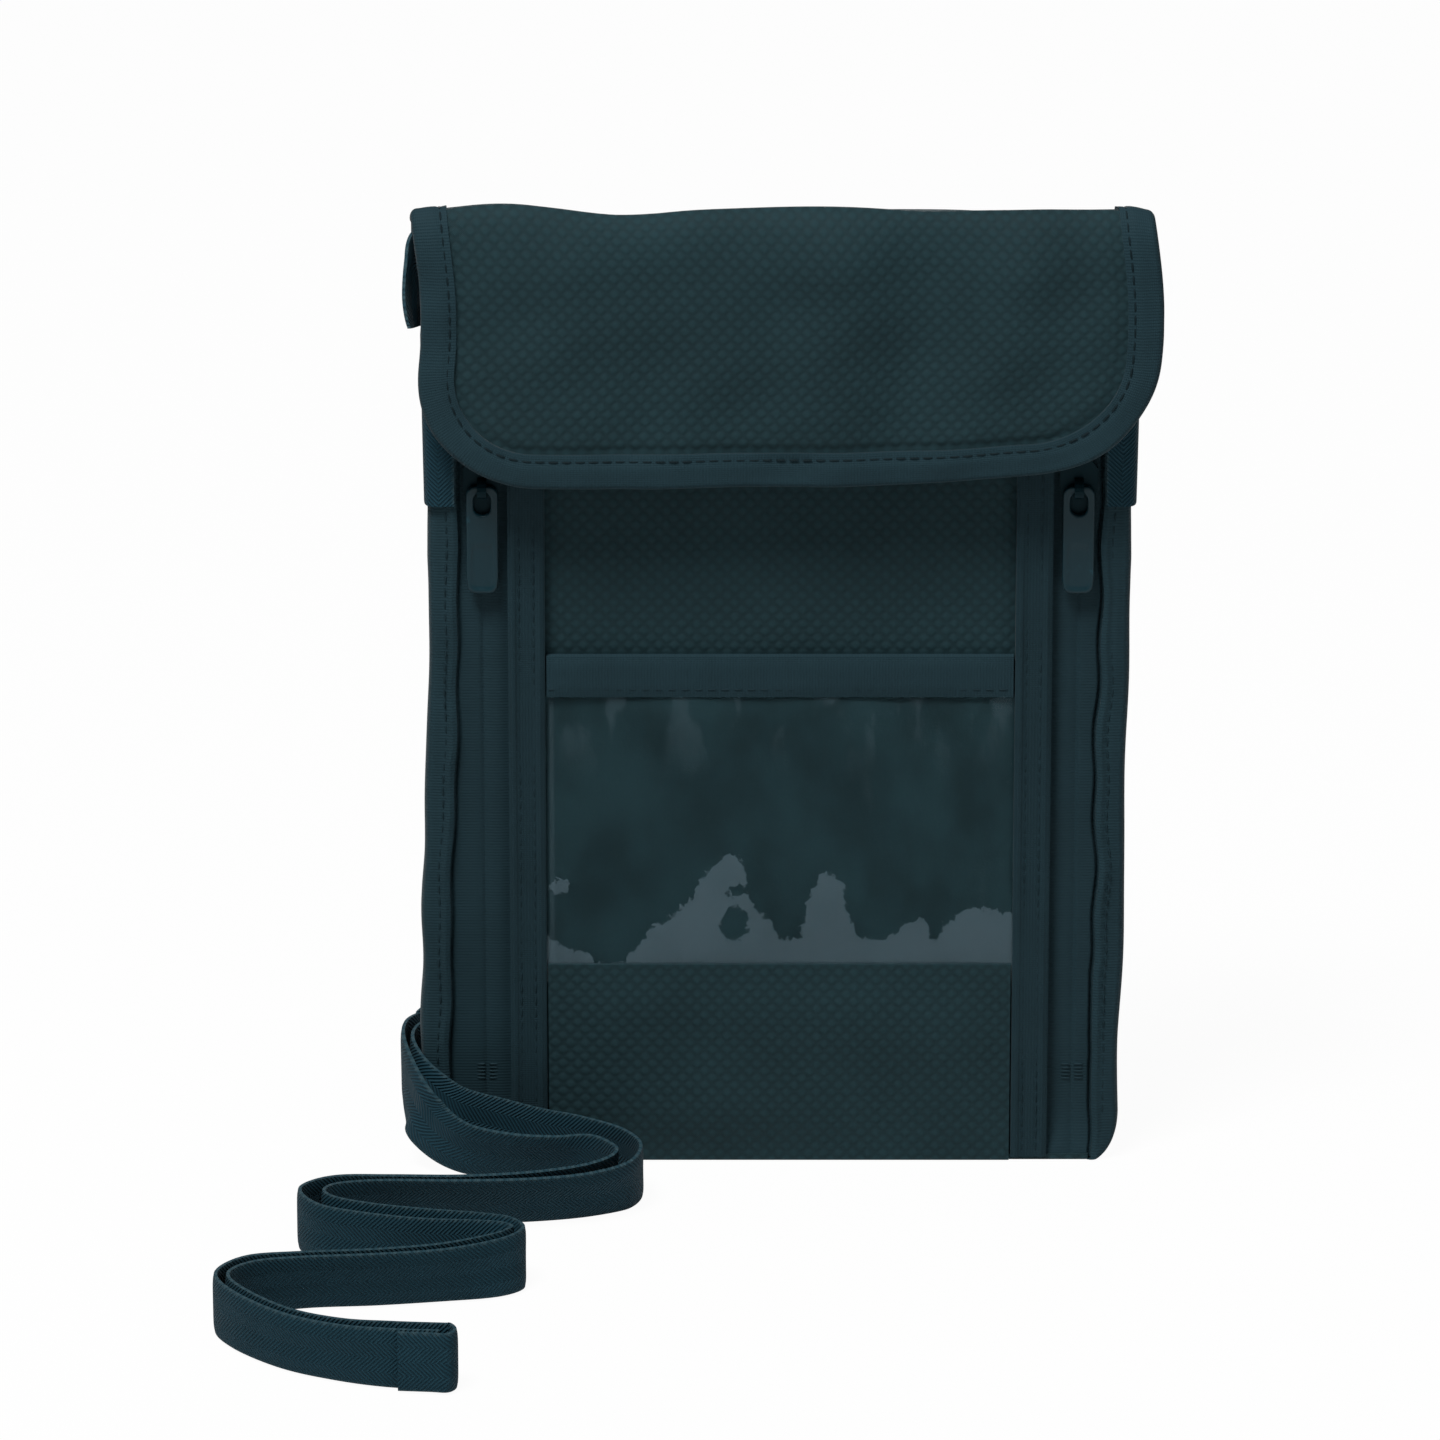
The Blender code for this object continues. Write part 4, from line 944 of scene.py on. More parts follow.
def panel(name, low, high, finish, bulge=0.0, wave=0.0, seed=1, pitch=PANEL_PITCH, margin=PANEL_MARGIN,
          ridge=0.0, lean=0.0, grooves=(), shaped=()):
    """A flat panel whose front swells towards -Y by bulge and ripples by wave, still sewn flat at its edges.

    ridge raises a narrow bead along both upright edges, lean brings the foot forward and grooves lists
    upright furrows as (x at each height, depth); shaped lists what draw_in needs for each side that
    follows the pouch's drawn-in edge.
    """
    fine = RIDGE_WIDTH / RIDGE_COLUMNS if ridge or grooves else pitch
    columns = max(int((high[0] - low[0]) / fine), LEAST_COLUMNS)
    rows = max(int((high[2] - low[2]) / pitch), LEAST_ROWS) + SHAPED_ROWS * len(shaped)
    share = np.linspace(0, 1, rows) ** (SHAPED_CROWDING if shaped else 1.0)
    x, z = np.meshgrid(np.linspace(low[0], high[0], columns), low[2] + share * (high[2] - low[2]))
    free = fade(x, low[0], high[0], margin) * fade(z, low[2], high[2], margin)
    lift = free * (bulge + wave * ripple(x, z, seed, PANEL_WAVELENGTH)) + lean * foot_lean(z)
    uneven = 1 + RIDGE_UNEVEN * ripple(z, x * 0, seed + RIDGE_SEED_STEP, RIDGE_WAVELENGTH)
    for edge in (low[0] + RIDGE_INSET, high[0] - RIDGE_INSET):
        lift = lift + ridge * bump_at(x, edge, RIDGE_WIDTH) * uneven
    flat = np.stack([x, z], axis=-1)
    for limits in shaped:
        x = draw_in(x, z, *limits)
    for place, depth in grooves:
        lift = lift - depth * bump_at(x, place(z), GROOVE_WIDTH)
    front = np.stack([x, low[1] - lift, z], axis=-1)
    back = np.stack([x, high[1] - lift * (ridge == 0.0), z], axis=-1)
    return slab(name, front, back, flat, finish)


def sew(name, corners, finish, *nodes, form=None, **more):
    """A panel between two corners, with the named form, hung on the pouch in place of CAD nodes."""
    piece = panel(name, *corners, finish, **PANEL_FORMS[form or name], **more)
    dress(piece, "pouch", finish, *nodes)


def wrap(name, side, heights, inner, outer, depths, wall, finish, pucker=0.0, seed=3, ridge=0.0, lean=0.0):
    """A tape folded round an upright edge: a C-shaped section with a rounded turn, carried up the edge.

    inner and outer are distances from the middle at each height; the section runs out along the front,
    round the edge, in along the back and home again one wall inside; lean brings the front's foot forward.
    """
    front, back = depths
    turn, middle = (back - front) / 2, (front + back) / 2
    angle = np.linspace(-math.pi / 2, math.pi / 2, WRAP_TURN_STEPS)
    bend, depth = (np.sign(way) * np.abs(way) ** WRAP_SQUARENESS for way in (np.cos(angle), np.sin(angle)))
    reach = np.minimum(turn, (outer - inner) / 2)
    legs = np.linspace(0, 1, WRAP_LEG_STEPS, endpoint=False)
    level = np.concatenate([np.full_like(legs, -1.0), depth, np.ones_like(legs)])
    skins = []
    for shrink in (0.0, wall):
        x_turn = (outer - reach)[:, None] + (reach - shrink)[:, None] * bend
        x_leg = inner[:, None] + (outer - reach - inner)[:, None] * legs
        x = np.concatenate([x_leg, x_turn, x_leg[:, ::-1]], axis=1)
        skins.append((x, np.broadcast_to(middle + (turn - shrink) * level, x.shape)))
    x, y = (np.concatenate([outside, inside[:, ::-1]], axis=1) for outside, inside in zip(*skins))
    z = np.broadcast_to(heights[:, None], x.shape)
    far = (x - inner.min()) / (outer.max() - inner.min())
    uneven = 1 + BEAD_UNEVEN * ripple(z, z * 0, seed + BEAD_SEED_STEP, BEAD_WAVELENGTH)
    bead = bump_at(x, inner[:, None] + RIDGE_INSET, RIDGE_WIDTH) * uneven * (y < front + wall / 2)
    lift = pucker * ripple(z, y * WRAP_STRETCH, seed, WRAP_PUCKER_LENGTH) + ridge * bead + lean * foot_lean(z)
    shift = pucker * ripple(z, y * 0, seed + SHIFT_SEED_STEP, WRAP_SHIFT_LENGTH) * far
    y_lifted = y - lift * np.where(y < middle, 1.0, -WRAP_BACK_SHARE)
    points = np.stack([side * (x + shift), y_lifted, z], axis=-1)
    girth = travelled(np.stack([x[0], y[0]], axis=-1))
    flat = np.stack([z, np.broadcast_to(girth, x.shape)], axis=-1)
    return tube(name, points, flat, finish)


def make_back():
    """Back panel, lining and divider as sewn sheets between the two bound edges."""
    for name, node, finish in (("back_cloth", "back_panel", "shell_cloth"),
                               ("shield_sheet", "shield_lining", "shield_cloth"),
                               ("divider_cloth", "divider_panel", "shell_cloth")):
        low, high = box(node)
        sew(name, (low, high), finish, node,
            shaped=((0.0, low[0], SHEET_MARGIN), (0.0, high[0], SHEET_MARGIN)))


def make_window():
    """Window film and the cloth behind it: four layers of one grid that swells and ripples."""
    low, high = box("window_sheet")
    x, z = np.meshgrid(*(np.linspace(low[k], high[k], count) for k, count in zip((0, 2), FILM_GRID)))
    free = fade(x, low[0], high[0], PANEL_MARGIN) * fade(z, low[2], high[2], PANEL_MARGIN)
    lift = FILM_STAND + free * (FILM_BULGE + FILM_WAVE * ripple(x, z, FILM_SEED, FILM_WAVELENGTH))
    backing = high[1] + BACKING_GAP
    layers = [np.stack([x, depth - lift, z], axis=-1)
              for depth in (low[1], high[1], backing, backing + BACKING_DEPTH)]
    flat = np.stack([x, z - box("lower_front_panel")[1][2]], axis=-1)
    dress(slab("window_film", *layers[:2], flat, "clear_film"), "pouch", "clear_film", "window_sheet")
    dress(slab("window_backing", *layers[2:], flat, "backing_cloth"), "pouch", "backing_cloth")


def make_front():
    """Centre panel, lower panel, window with its binding, and the stay tapes."""
    sew("front_cloth", box("front_panel"), "shell_cloth", "front_panel")
    low, high = box("lower_front_panel")
    high[1] = low[1] + LOWER_CLOTH_DEPTH
    sew("lower_front_cloth", (low, high), "shell_cloth", "lower_front_panel")
    make_window()
    low, high = box("window_top_binding")
    sew("window_binding_tape", (low, high), "binding_tape", "window_top_binding")
    line = line_x(low[1] - STITCH_PROUD, low[2] + WINDOW_STITCH_RISE, low[0], high[0])
    stitches("window_binding_stitches", [line], "pouch", finish="tape_thread")
    lines = []
    for name, _ in SIDES:
        low, high = box("stay_tape_" + name)
        low[2] += STAY_FOOT
        sew("stay_tape_cloth_" + name, (low, high), "stay_tape", "stay_tape_" + name, form="stay_tape_cloth")
        lines += [line_z(low[0] + inset, low[1], low[2] + STAY_STITCH_FOOT, high[2])
                  for inset in STAY_STITCH_INSETS]
    stitches("stay_tape_stitches", lines, "pouch", finish="tape_thread")


def make_side_bindings():
    """Tapes folded round the side edges, with rows crowded at the rounded corners, and their stitches."""
    lines = []
    for name, side in SIDES:
        low, high = box("side_binding_" + name)
        rounded = np.linspace(0, 1, CORNER_ROWS)[:-1] ** 2 * CORNER_HEIGHT
        straight = np.linspace(low[2] + CORNER_HEIGHT, high[2], EDGE_ROWS)
        heights = np.concatenate([low[2] + rounded, straight])
        outer = max(abs(low[0]), abs(high[0])) - side_inset(heights, name)
        inner = np.minimum(binding_edge(heights, name), outer - SHEET_MARGIN)
        tape = wrap("side_binding_tape_" + name, side, heights, inner, outer, (low[1], high[1]), EDGE_WALL,
                    "binding_tape", seed=EDGE_SEED + int(side), **EDGE_FORM)
        dress(tape, "pouch", "binding_tape", "side_binding_" + name)
        seam = line_z(0.0, low[1] - STITCH_PROUD, CORNER_HEIGHT, high[2] - EDGE_STITCH_END)
        seam[:, 0] = side * (binding_edge(seam[:, 2], name) + EDGE_STITCH_INSET)
        lines.append(seam)
    stitches("side_binding_stitches", lines, "pouch", finish="tape_thread")


def make_bottom():
    """Bottom binding between the drawn-in corners, and the cloth under the pouch in front of it."""
    low, high = box("bottom_binding")
    foot = np.array([CORNER_HEIGHT])
    low[0] += float(side_inset(foot, "left")[0]) - BOTTOM_LAP
    high[0] += BOTTOM_LAP - float(side_inset(foot, "right")[0])
    under_low, under_high = low.copy(), high.copy()
    low[1] = high[1] - BOTTOM_TAPE_DEPTH
    sew("bottom_binding_tape", (low, high), "binding_tape", "bottom_binding")
    under_low[1] = box("lower_front_panel")[0][1] + UNDER_CLOTH_INSET
    under_high[1] = low[1] - UNDER_CLOTH_GAP
    under_high[2] = under_low[2] + UNDER_CLOTH_HEIGHT
    sew("bottom_edge_cloth", (under_low, under_high), "shell_cloth")


def make_tabs():
    """Webbing tabs that the strap is sewn on with, folded round the side edges."""
    for name, side in SIDES:
        low, high = box("strap_anchor_" + name)
        heights = np.linspace(low[2], high[2], TAB_ROWS)
        inner = np.full(TAB_ROWS, min(abs(low[0]), abs(high[0])))
        outer = HALF_WIDTH - side_inset(heights, name) + TAB_WALL
        tab = wrap("strap_tab_" + name, side, heights, inner, outer, (low[1], high[1]), TAB_WALL, "webbing",
                   pucker=TAB_PUCKER, seed=TAB_SEED)
        dress(tab, "pouch", "webbing", "strap_anchor_" + name)


def make_edges():
    """Bound side edges, bottom edge, mouth, the closing strip on the pouch and the strap's tabs."""
    make_side_bindings()
    make_bottom()
    sew("mouth_binding_tape", box("mouth_binding"), "binding_tape", "mouth_binding")
    sew("loop_tape", box("loop_strip"), "hook_and_loop", "loop_strip")
    make_tabs()


def rounded_box(x, z, middle, half, radius):
    """Signed distance to a rounded rectangle's edge, positive inside."""
    aside = np.abs(x - middle[0]) - half[0] + radius
    over = np.abs(z - middle[1]) - half[1] + radius
    outside = np.hypot(np.maximum(aside, 0), np.maximum(over, 0))
    return radius - outside - np.minimum(np.maximum(aside, over), 0)


def to_edge(middle, half, radius, start, angle):
    """Points where rays from a start meet a rounded rectangle's edge, by halving the reach of each ray."""
    ray = np.stack([np.cos(angle), np.sin(angle)], axis=-1)
    near, far = np.zeros(len(angle)), np.full(len(angle), 2 * max(half))
    for _ in range(RAY_HALVINGS):
        reach = (near + far) / 2
        spot = start + ray * reach[:, None]
        inside = rounded_box(spot[:, 0], spot[:, 1], middle, half, radius) > 0
        near, far = np.where(inside, reach, near), np.where(inside, far, reach)
    return start + ray * near[:, None]


def make_pull(name):
    """A cast zip pull: a rounded plate with a round-ended hole at the top and a shallow pad below it.

    The surface runs from the hole's edge out to the plate's edge over the front and home over the back;
    its half thickness falls to nothing along both edges as a quarter circle.
    """
    low, high = box("zip_pull_" + name)
    middle, half = (low + high) / 2, (high - low) / 2
    plate = ((middle[0], middle[2]), (half[0], half[2]), PULL_CORNER_RADIUS)
    hole_half = (PULL_HOLE_HALF, PULL_HOLE_LENGTH / 2 + PULL_HOLE_HALF / 2)
    hole = ((middle[0], high[2] - PULL_BAR - hole_half[1]), hole_half, PULL_HOLE_HALF * PULL_HOLE_ROUNDNESS)
    pad = ((middle[0], low[2] + PULL_PAD_INSET + PULL_PAD_LENGTH / 2),
           (half[0] - PULL_PAD_INSET, PULL_PAD_LENGTH / 2), PULL_CORNER_RADIUS - PULL_PAD_INSET)
    angle = np.linspace(0, 2 * math.pi, PULL_RAYS, endpoint=False)
    start = np.array(hole[0])
    inner, outer = to_edge(*hole, start, angle), to_edge(*plate, start, angle)
    share = (1 - np.cos(np.linspace(0, math.pi, PULL_RINGS))) / 2
    spots = inner[:, None] + (outer - inner)[:, None] * share[None, :, None]
    x, z = spots[..., 0], spots[..., 1]
    depth = np.minimum(rounded_box(x, z, *plate), -rounded_box(x, z, *hole))
    round_off = np.clip(1 - depth / PULL_EDGE_RADIUS, 0, 1)
    thick = half[1] - PULL_EDGE_RADIUS * (1 - np.sqrt(np.maximum(1 - round_off ** 2, 0)))
    sunk = ease(rounded_box(x, z, *pad) / PULL_PAD_BLEND + 0.5)
    front = np.stack([x, middle[1] - thick + PULL_PAD_DEPTH * sunk, z], axis=-1)
    back = np.stack([x, middle[1] + thick, z], axis=-1)
    verts = np.concatenate([front, back[:, ::-1]], axis=1)
    rows, columns = verts.shape[:2]
    verts = verts.reshape(-1, 3)
    faces = grid_faces(rows + 1, columns, around=True) % len(verts)
    pull = build("zip_pull_tab_" + name, verts, faces.tolist(), verts[:, ::2], "painted_metal",
                 PULL_SHARP_ANGLE)
    dress(pull, "pull_" + name, "painted_metal", "zip_pull_" + name)


def make_zip(name, side):
    """Zip tapes as smooth strips that meet over the coils, bars of stitches at the foot, slider and pull."""
    low, high = box("zip_pull_" + name)
    middle = (low[0] + high[0]) / 2

    def seam(heights):
        """The line where the two strips meet."""
        return np.full_like(heights, middle)

    def crease(heights):
        """The line where the outer strip goes under the side binding."""
        return side * (binding_edge(heights, name) - ZIP_CREASE)

    for row in ("inner", "outer"):
        tape = "zip_tape_%s_%s" % (row, name)
        low, high = box(tape)
        edge = low[0] if side > 0 else high[0]
        more = {"grooves": [(seam, SEAM_DEPTH)]}
        if row == "outer":
            edge = side * (HALF_WIDTH - SHEET_MARGIN)
            more["grooves"].append((crease, CREASE_DEPTH[name]))
            more["shaped"] = [(middle, edge, SHEET_MARGIN, ZIP_TUCK)]
        low[0], high[0] = min(middle, edge), max(middle, edge)
        low[2] = ZIP_FOOT
        sew("zip_strip_%s_%s" % (row, name), (low, high), "zip_tape", tape, form="zip_strip", **more)
        repaint("zip_coil_%s_%s" % (row, name), "zip_coil")
    low, high = box("zip_stop_" + name)
    bars = [line_x(high[1] + STITCH_RADIUS, height, low[0], high[0])
            for height in np.linspace(low[2], high[2], TACK_BARS)]
    tack = stitches("zip_bar_tack_" + name, bars, "pouch", finish="zip_tape")
    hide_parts("zip_stop_" + name)
    # The slider's darker finish is painted shade under the flap's edge
    repaint("zip_slider_" + name, "slider_paint_painted_shade")
    make_pull(name)


def flap_profile():
    """Side profile of the flap's outer skin: up the back, over a rounded fold and down the front.

    Returns points (depth, height), outward directions and the length run along them.
    """
    low, high = box("flap_outer")
    top, radius = high[2] + FLAP_CREST, FLAP_FOLD_RADIUS
    quarter = np.linspace(0, math.pi / 2, FLAP_TURN_STEPS)
    back_out = np.stack([np.cos(quarter), np.sin(quarter)], axis=-1)
    front_turn = np.stack([-np.sin(quarter), np.cos(quarter)], axis=-1)
    front_out = unit(front_turn * np.array([FLAP_BROW_HEIGHT, radius]))
    back = np.array([high[1] - radius, top - FLAP_BACK_DROP - radius]) + radius * back_out
    brow = np.array([low[1] + radius, top - FLAP_BROW_HEIGHT])
    front = brow + front_turn * np.array([radius, FLAP_BROW_HEIGHT])
    foot = np.array([[high[1], box("back_panel")[1][2] - FLAP_FOOT_LAP]])
    level = np.linspace(back[-1], front[0], FLAP_LEVEL_STEPS + 2)[1:-1]
    heights = np.linspace(brow[1], low[2] + FLAP_LIFT, FLAP_DROP_STEPS + 1)[1:]
    drop = np.stack([np.full_like(heights, low[1]), heights], axis=-1)
    points = np.concatenate([foot, back, level, front, drop])
    out = np.concatenate([[[1.0, 0.0]], back_out, np.tile([0.0, 1.0], (FLAP_LEVEL_STEPS, 1)), front_out,
                          np.tile([-1.0, 0.0], (FLAP_DROP_STEPS, 1))])
    return points, out, travelled(points)


class FlapForm:
    """The flap as a bent sheet: x across it, s down it from the back seam, h off its skin."""

    def __init__(self):
        self.points, self.out, self.run = flap_profile()
        self.length = self.run[-1]
        self.half = box("flap_binding")[1][0] - FLAP_SIDE_MARGIN
        self.fold = np.interp(0.0, -self.points[:, 0], self.run)

    def edge_distance(self, x, s):
        """How far a spot lies inside the flap's two sides and its rounded lower edge."""
        radius = FLAP_CORNER_RADIUS
        aside = np.abs(x) - (self.half - radius)
        down = s - (self.length - radius)
        outside = np.hypot(np.maximum(aside, 0), np.maximum(down, 0))
        return radius - outside - np.minimum(np.maximum(aside, down), 0)

    def relief(self, x, s):
        """Swells and dents of the cloth: slow waves, upright hollows, a crease along the binding."""
        front = np.clip((s - self.fold) / FLAP_RELIEF_START, 0, 1)
        inside = self.edge_distance(x, s)
        belly = np.clip(inside / FLAP_BELLY_RUN, 0, 1) * FLAP_BELLY
        slow = (FLAP_BROAD_WAVE * ripple(x, s * FLAP_BROAD_STRETCH, FLAP_BROAD_SEED, FLAP_BROAD_LENGTH)
                + FLAP_SMALL_WAVE * ripple(x, s, FLAP_SMALL_SEED, FLAP_SMALL_LENGTH))
        hollow = sum(height * bump_at(x + s * slant, centre, width)
                     for height, slant, centre, width in FLAP_HOLLOWS)
        crease = -FLAP_CREASE * bump_at(inside, FLAP_TAPE_WIDTH + FLAP_CREASE_GAP, FLAP_CREASE_WIDTH)
        return front * (belly + slow + hollow * np.clip(inside / FLAP_HOLLOW_MARGIN, 0, 1) + crease)

    def place(self, x, s, h):
        """The spot in space: the profile carried across, with a wavy fold and a hanging, wavy lower edge."""
        y, z = np.moveaxis(spots_along(self.points, self.run, s), -1, 0)
        out_y, out_z = np.moveaxis(spots_along(self.out, self.run, s), -1, 0)
        down = np.clip((s - self.fold) / (self.length - self.fold), 0, 1)
        wave = bump_at(s, self.fold, FOLD_SPREAD) * (bells(x, FOLD_WAVES) - FOLD_DROP)
        tail = down ** 2 * bells(x, TAIL_WAVES)
        lift = h + self.relief(x, s)
        start, run = FLAP_SHIFT_OUT
        slide = FLAP_SHIFT * ease(down / FLAP_SHIFT_IN) * (1 - ease((down - start) / run))
        return np.stack([x + slide, y + out_y * lift - FLAP_HANG * down, z + out_z * lift + wave + tail], -1)


def make_flap_cloth(form):
    """The flap's cloth: rows across the form, narrowed to a quarter circle at the two lower corners."""
    s = np.interp(np.linspace(0, 1, FLAP_ROWS), np.linspace(0, 1, len(form.run)), form.run)
    last = form.length - FLAP_CLOTH_INSET
    rest = np.clip(last - s, 0, FLAP_CORNER_RADIUS)
    corner = np.sqrt(np.maximum(FLAP_CORNER_RADIUS ** 2 - (FLAP_CORNER_RADIUS - rest) ** 2, 0))
    width = form.half - FLAP_CLOTH_INSET - FLAP_CORNER_RADIUS + corner
    x = width[:, None] * np.linspace(-1, 1, FLAP_COLUMNS)
    run = np.broadcast_to(np.minimum(s, last)[:, None], x.shape)
    skins = [form.place(x, run, height) for height in (0.0, -FLAP_THICKNESS)]
    cloth = slab("flap_cloth", *skins, np.stack([x, run], axis=-1), "shell_cloth")
    dress(cloth, FOLD_BODIES, "shell_cloth", "flap_outer", "flap_lining")


def flap_outline(form):
    """The flap's edge as (across, down): down one side, round a corner, along the foot and up the other."""
    radius, half, length = FLAP_CORNER_RADIUS, form.half, form.length
    turn = np.linspace(0, math.pi / 2, OUTLINE_CORNER_STEPS)
    left = np.stack([radius - half - radius * np.cos(turn), length - radius + radius * np.sin(turn)], axis=-1)
    right = left[::-1] * np.array([-1.0, 1.0])
    side = np.linspace(FLAP_TAPE_START, length - radius, OUTLINE_SIDE_STEPS)[:-1]
    foot = np.linspace(left[-1], right[0], OUTLINE_FOOT_STEPS)[1:-1]
    return np.concatenate([np.stack([np.full_like(side, -half), side], axis=-1), left, foot, right,
                           np.stack([np.full_like(side, half), side[::-1]], axis=-1)])


def make_flap_binding(form):
    """Tape round the flap's edge: a section with a round nose carried along the edge, and its stitches."""
    path = flap_outline(form)
    ahead = unit(np.gradient(path, axis=0))
    inward = np.stack([ahead[:, 1], -ahead[:, 0]], axis=-1)
    thick = FLAP_TAPE_RISE + FLAP_THICKNESS / 2
    angle = np.linspace(math.pi / 2, 3 * math.pi / 2, FLAP_NOSE_STEPS)
    nose = np.stack([FLAP_TAPE_NOSE * (1 + np.cos(angle)), -thick * np.sin(angle)], axis=-1)
    legs = np.linspace(FLAP_TAPE_NOSE, FLAP_TAPE_WIDTH, FLAP_LEG_STEPS)[1:]
    stitch_line = FLAP_TAPE_WIDTH - FLAP_STITCH_INSET
    crown = (FLAP_TAPE_PUFF * np.sin(np.linspace(0, math.pi, len(legs)))
             - FLAP_STITCH_DENT * bump_at(legs, stitch_line, FLAP_STITCH_SPREAD))
    under = np.stack([legs[::-1], np.full_like(legs, -thick)], axis=-1)
    profile = np.concatenate([under, nose, np.stack([legs, thick + crown], axis=-1)])
    reach, rise = profile.T
    spots = path[:, None] + inward[:, None] * reach[:, None]
    gone = travelled(path)
    uneven = ripple(gone[:, None] + reach, reach * FLAP_PUCKER_STRETCH, FLAP_TAPE_SEED, FLAP_PUCKER_LENGTH)
    height = rise + FLAP_TAPE_PUCKER * uneven * np.sign(rise) - FLAP_THICKNESS / 2
    rings = form.place(spots[..., 0], spots[..., 1], height)
    flat = np.stack(np.broadcast_arrays(gone[:, None], travelled(profile)), axis=-1)
    tape = tube("flap_binding_tape", rings, flat, "binding_tape")
    dress(tape, FOLD_BODIES, "binding_tape", "flap_binding")
    seam = path + inward * stitch_line
    line = form.place(seam[:, 0], seam[:, 1], FLAP_TAPE_RISE - FLAP_STITCH_SINK)
    stitches("flap_binding_stitches", [line[FLAP_STITCH_ENDS:-FLAP_STITCH_ENDS]], FOLD_BODIES)


def make_flap():
    """Flap cloth over the fold, its edge binding with stitches, and the closing strip inside it."""
    form = FlapForm()
    make_flap_cloth(form)
    make_flap_binding(form)
    low, high = box("hook_strip")
    front = form.run > form.fold
    ends = np.interp([-high[2], -low[2]], -form.points[front, 1], form.run[front])
    columns, rows = HOOK_TAPE_GRID
    x, s = np.meshgrid(np.linspace(low[0], high[0], columns), np.linspace(*ends, rows))
    skins = [form.place(x, s, height) for height in (-FLAP_THICKNESS, -FLAP_THICKNESS - HOOK_TAPE_DEPTH)]
    hooks = slab("hook_tape", *skins, np.stack([x, s], axis=-1), "hook_and_loop")
    dress(hooks, "flap", "hook_and_loop", "hook_strip")


def smooth_route(points, steps):
    """A Catmull-Rom curve through points, its ends carried straight on."""
    points = np.asarray(points, dtype=float)
    ring = np.concatenate([[2 * points[0] - points[1]], points, [2 * points[-1] - points[-2]]])
    a, b, c, d = ring[:-3, None], ring[1:-2, None], ring[2:-1, None], ring[3:, None]
    t = (np.arange(steps) / steps)[None, :, None]
    bend, twist = 2 * a - 5 * b + 4 * c - d, 3 * b - a - 3 * c + d
    curve = 0.5 * (2 * b + (c - a) * t + bend * t ** 2 + twist * t ** 3)
    return np.concatenate([curve.reshape(-1, points.shape[1]), points[-1:]])


def floor_strand(offset):
    """The floor route moved sideways by an offset times its spread, standing on its edge and leaning over.

    Returns the strand's middle points and its width directions.
    """
    plan = np.array(FLOOR_ROUTE)
    spots, lean, spread = plan[:, :2], plan[:, 2], plan[:, 3:]
    along = unit(np.concatenate([spots[1:], spots[-1:]]) - np.concatenate([spots[:1], spots[:-1]]))
    aside = np.stack([-along[:, 1], along[:, 0]], axis=-1) * (offset * spread)
    width = unit(np.stack([np.zeros(len(plan)), -lean, np.ones(len(plan))], axis=-1))
    height = STRAP_WIDTH / 2 * width[:, 2] + STRAP_FLOOR_GAP
    return np.column_stack([spots + aside, height]), width


def webbing(name, route, widths, node):
    """A strap with rounded selvedges: a flat oval section carried along the route and turned with it."""
    middle = smooth_route(route, STRAP_STEPS)
    across = smooth_route(widths, STRAP_STEPS)
    along = unit(np.gradient(middle, axis=0))
    across = unit(across - along * (across * along).sum(axis=1, keepdims=True))
    normal = np.cross(along, across)
    half = STRAP_WIDTH / 2
    spread = np.linspace(-1, 1, STRAP_SECTION_STEPS)
    crown = STRAP_THICKNESS / 2 * (1 - SELVEDGE_THINNING * np.abs(spread) ** SELVEDGE_POWER)
    upper = np.stack([spread * half, crown], axis=-1)
    profile = np.concatenate([upper, upper[::-1] * np.array([1.0, -1.0])])
    rings = middle[:, None] + across[:, None] * profile[:, :1] + normal[:, None] * profile[:, 1:]
    length = travelled(middle)
    flat = np.stack(np.broadcast_arrays(length[:, None], profile[:, 0] + half), axis=-1)
    strap = tube(name, rings, flat, "webbing")
    dress(strap, "pouch", "webbing", node)


def strap_routes():
    """Middle line and width directions of the right strand, which folds and laps the left, and the left."""
    half = STRAND_SPACING / 2
    inner, upright = floor_strand(half)
    outer, _ = floor_strand(-half)
    tip = (inner[-1] + outer[-1]) / 2
    along = unit(tip - (inner[-2] + outer[-2]) / 2)
    aside = np.array([-along[1], along[0], 0.0])
    lap = STRAP_THICKNESS + STRAP_LAP_GAP
    front = outer[-1] - aside * lap
    shoulder = along * half * FOLD_SHOULDER
    nose = tip - aside * lap / 2 + along * half * FOLD_REACH
    fold = np.array([inner[-1] + shoulder, nose, front + shoulder,
                     front - along * SEAM_OVERLAP * SEAM_ENTRY, front - along * SEAM_OVERLAP])
    points, widths = map(list, zip(*RIGHT_STRAND_ROUTE))
    right = np.concatenate([points, inner, fold])
    right_widths = np.concatenate([widths, -upright, -upright[-1:].repeat(len(fold), 0)])
    outer[-1] -= along * STRAP_LAP_GAP
    points, widths = map(list, zip(*LEFT_STRAND_ROUTE))
    return (right, right_widths), (np.concatenate([points, outer]), np.concatenate([widths, upright]))


def make_strap():
    """Two strands from the tabs, behind the pouch and out over the floor, sewn together at the far fold."""
    (right, right_widths), (left, left_widths) = strap_routes()
    webbing("neck_webbing_right", right, right_widths, "neck_strap_right")
    along = unit(right[-1] - right[-2])
    face = np.cross(right_widths[-1], along)
    face *= -np.sign(face[1])
    spot = right[-1] - face * (STRAP_THICKNESS / 2)
    rise = np.linspace(-SEAM_SPAN, SEAM_SPAN, SEAM_STEPS)[:, None] * np.array([0.0, 0.0, STRAP_WIDTH])
    lines = [spot - along * back + rise for back in SEAM_ROWS]
    stitches("strap_seam_stitches", lines, "pouch", inward=tuple(face))
    webbing("neck_webbing_left", left, left_widths, "neck_strap_left")


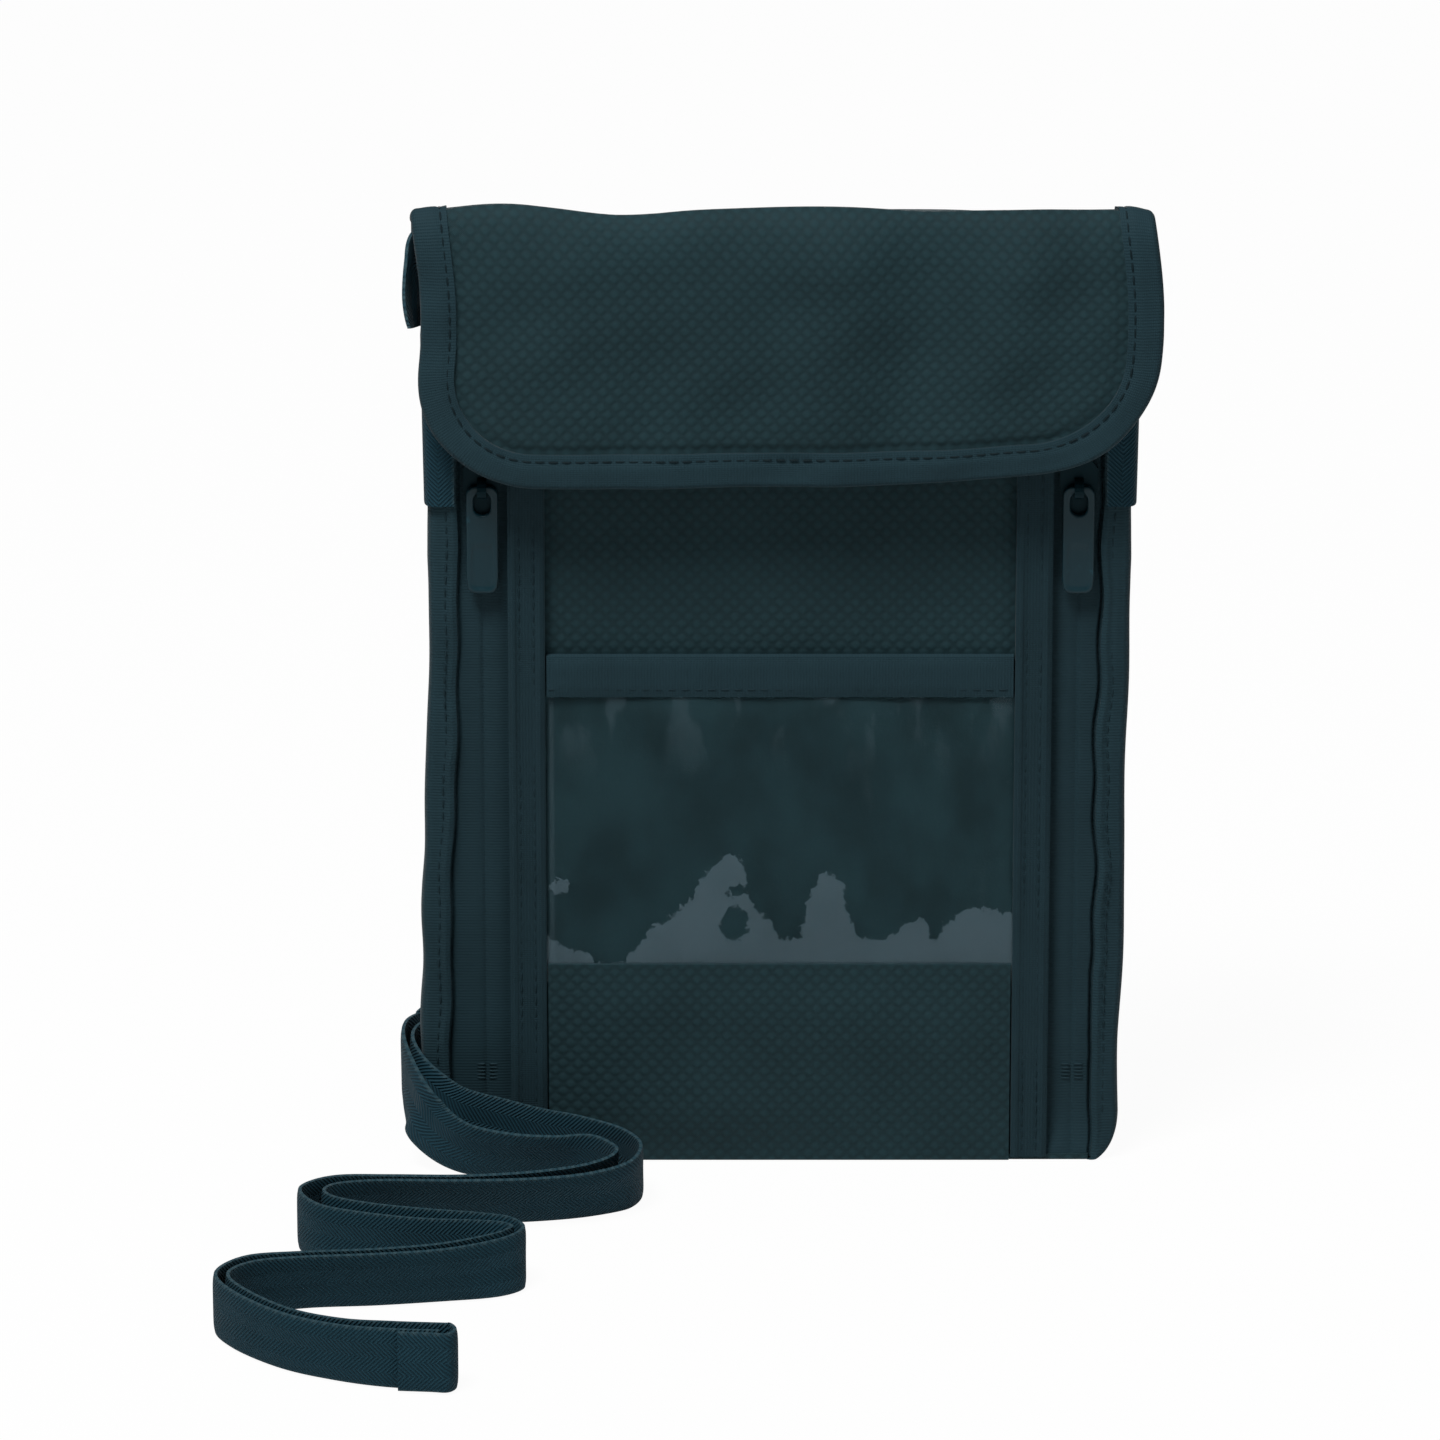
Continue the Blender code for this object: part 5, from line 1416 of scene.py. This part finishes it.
def make_floor():
    """A floor that the camera and reflections see almost white, and that lights the part as a grey one."""
    bpy.ops.mesh.primitive_plane_add(size=FLOOR_SIZE, location=(0.0, 0.0, FLOOR_LEVEL))
    floor = bpy.context.object
    floor.name = "studio_floor"
    pale = Finish("studio_floor")
    rays = pale.node("ShaderNodeLightPath", output="Is Camera Ray")
    glossy = Wire(pale, rays.socket.node.outputs["Is Glossy Ray"])
    through = Wire(pale, rays.socket.node.outputs["Is Transmission Ray"])
    seen = rays.maths("MAXIMUM", glossy).maths("MAXIMUM", through)
    pale.set(Base_Color=FLOOR_GREY, Roughness=FLOOR_ROUGHNESS)
    glow = pale.node("ShaderNodeEmission", {}, {"Color": WHITE, "Strength": 1.0})
    lit = Wire(pale, pale.shader.outputs[0])
    blend = pale.node("ShaderNodeMixShader", {}, {0: seen * FLOOR_GLOW, 1: lit, 2: glow})
    output = [node for node in pale.tree.nodes if node.type == "OUTPUT_MATERIAL"][0]
    pale.tree.links.new(blend.socket, output.inputs["Surface"])
    floor.data.materials.append(pale.material)


def make_lights():
    """Dim white light from all round and square lamps turned to the part."""
    scene = bpy.context.scene
    scene.world = bpy.data.worlds.new("studio")
    scene.world.use_nodes = True
    sky = scene.world.node_tree.nodes["Background"]
    sky.inputs["Color"].default_value = WHITE
    sky.inputs["Strength"].default_value = SKY_STRENGTH
    for name, place, size, power in LAMPS:
        light = bpy.data.lights.new(name, "AREA")
        light.size = size
        light.energy = power
        lamp = bpy.data.objects.new(name, light)
        lamp.location = place
        aim = LAMP_TARGET - np.array(place)
        tilt = math.atan2(math.hypot(aim[0], aim[1]), -aim[2])
        lamp.rotation_euler = (tilt, 0.0, math.atan2(aim[0], -aim[1]) + math.pi)
        scene.collection.objects.link(lamp)


def make_camera():
    """The camera at the photograph's angle."""
    scene = bpy.context.scene
    lens = bpy.data.cameras.new("photo_view")
    lens.sensor_width = SENSOR_MM
    lens.lens = SENSOR_MM * VIEW_DISTANCE / (METRES_PER_PIXEL * PHOTO_PIXELS)
    camera = bpy.data.objects.new("photo_view", lens)
    camera.location = (VIEW_TARGET[0], VIEW_TARGET[1] - VIEW_DISTANCE * math.cos(VIEW_ELEVATION),
                       VIEW_TARGET[2] + VIEW_DISTANCE * math.sin(VIEW_ELEVATION))
    camera.rotation_euler = (math.pi / 2 - VIEW_ELEVATION, 0.0, 0.0)
    scene.collection.objects.link(camera)
    scene.camera = camera
    scene.view_settings.view_transform = "Standard"


make_floor()
make_lights()
make_camera()
make_strap()
make_back()
make_front()
make_edges()
for side_name, side_way in SIDES:
    make_zip(side_name, side_way)
make_flap()
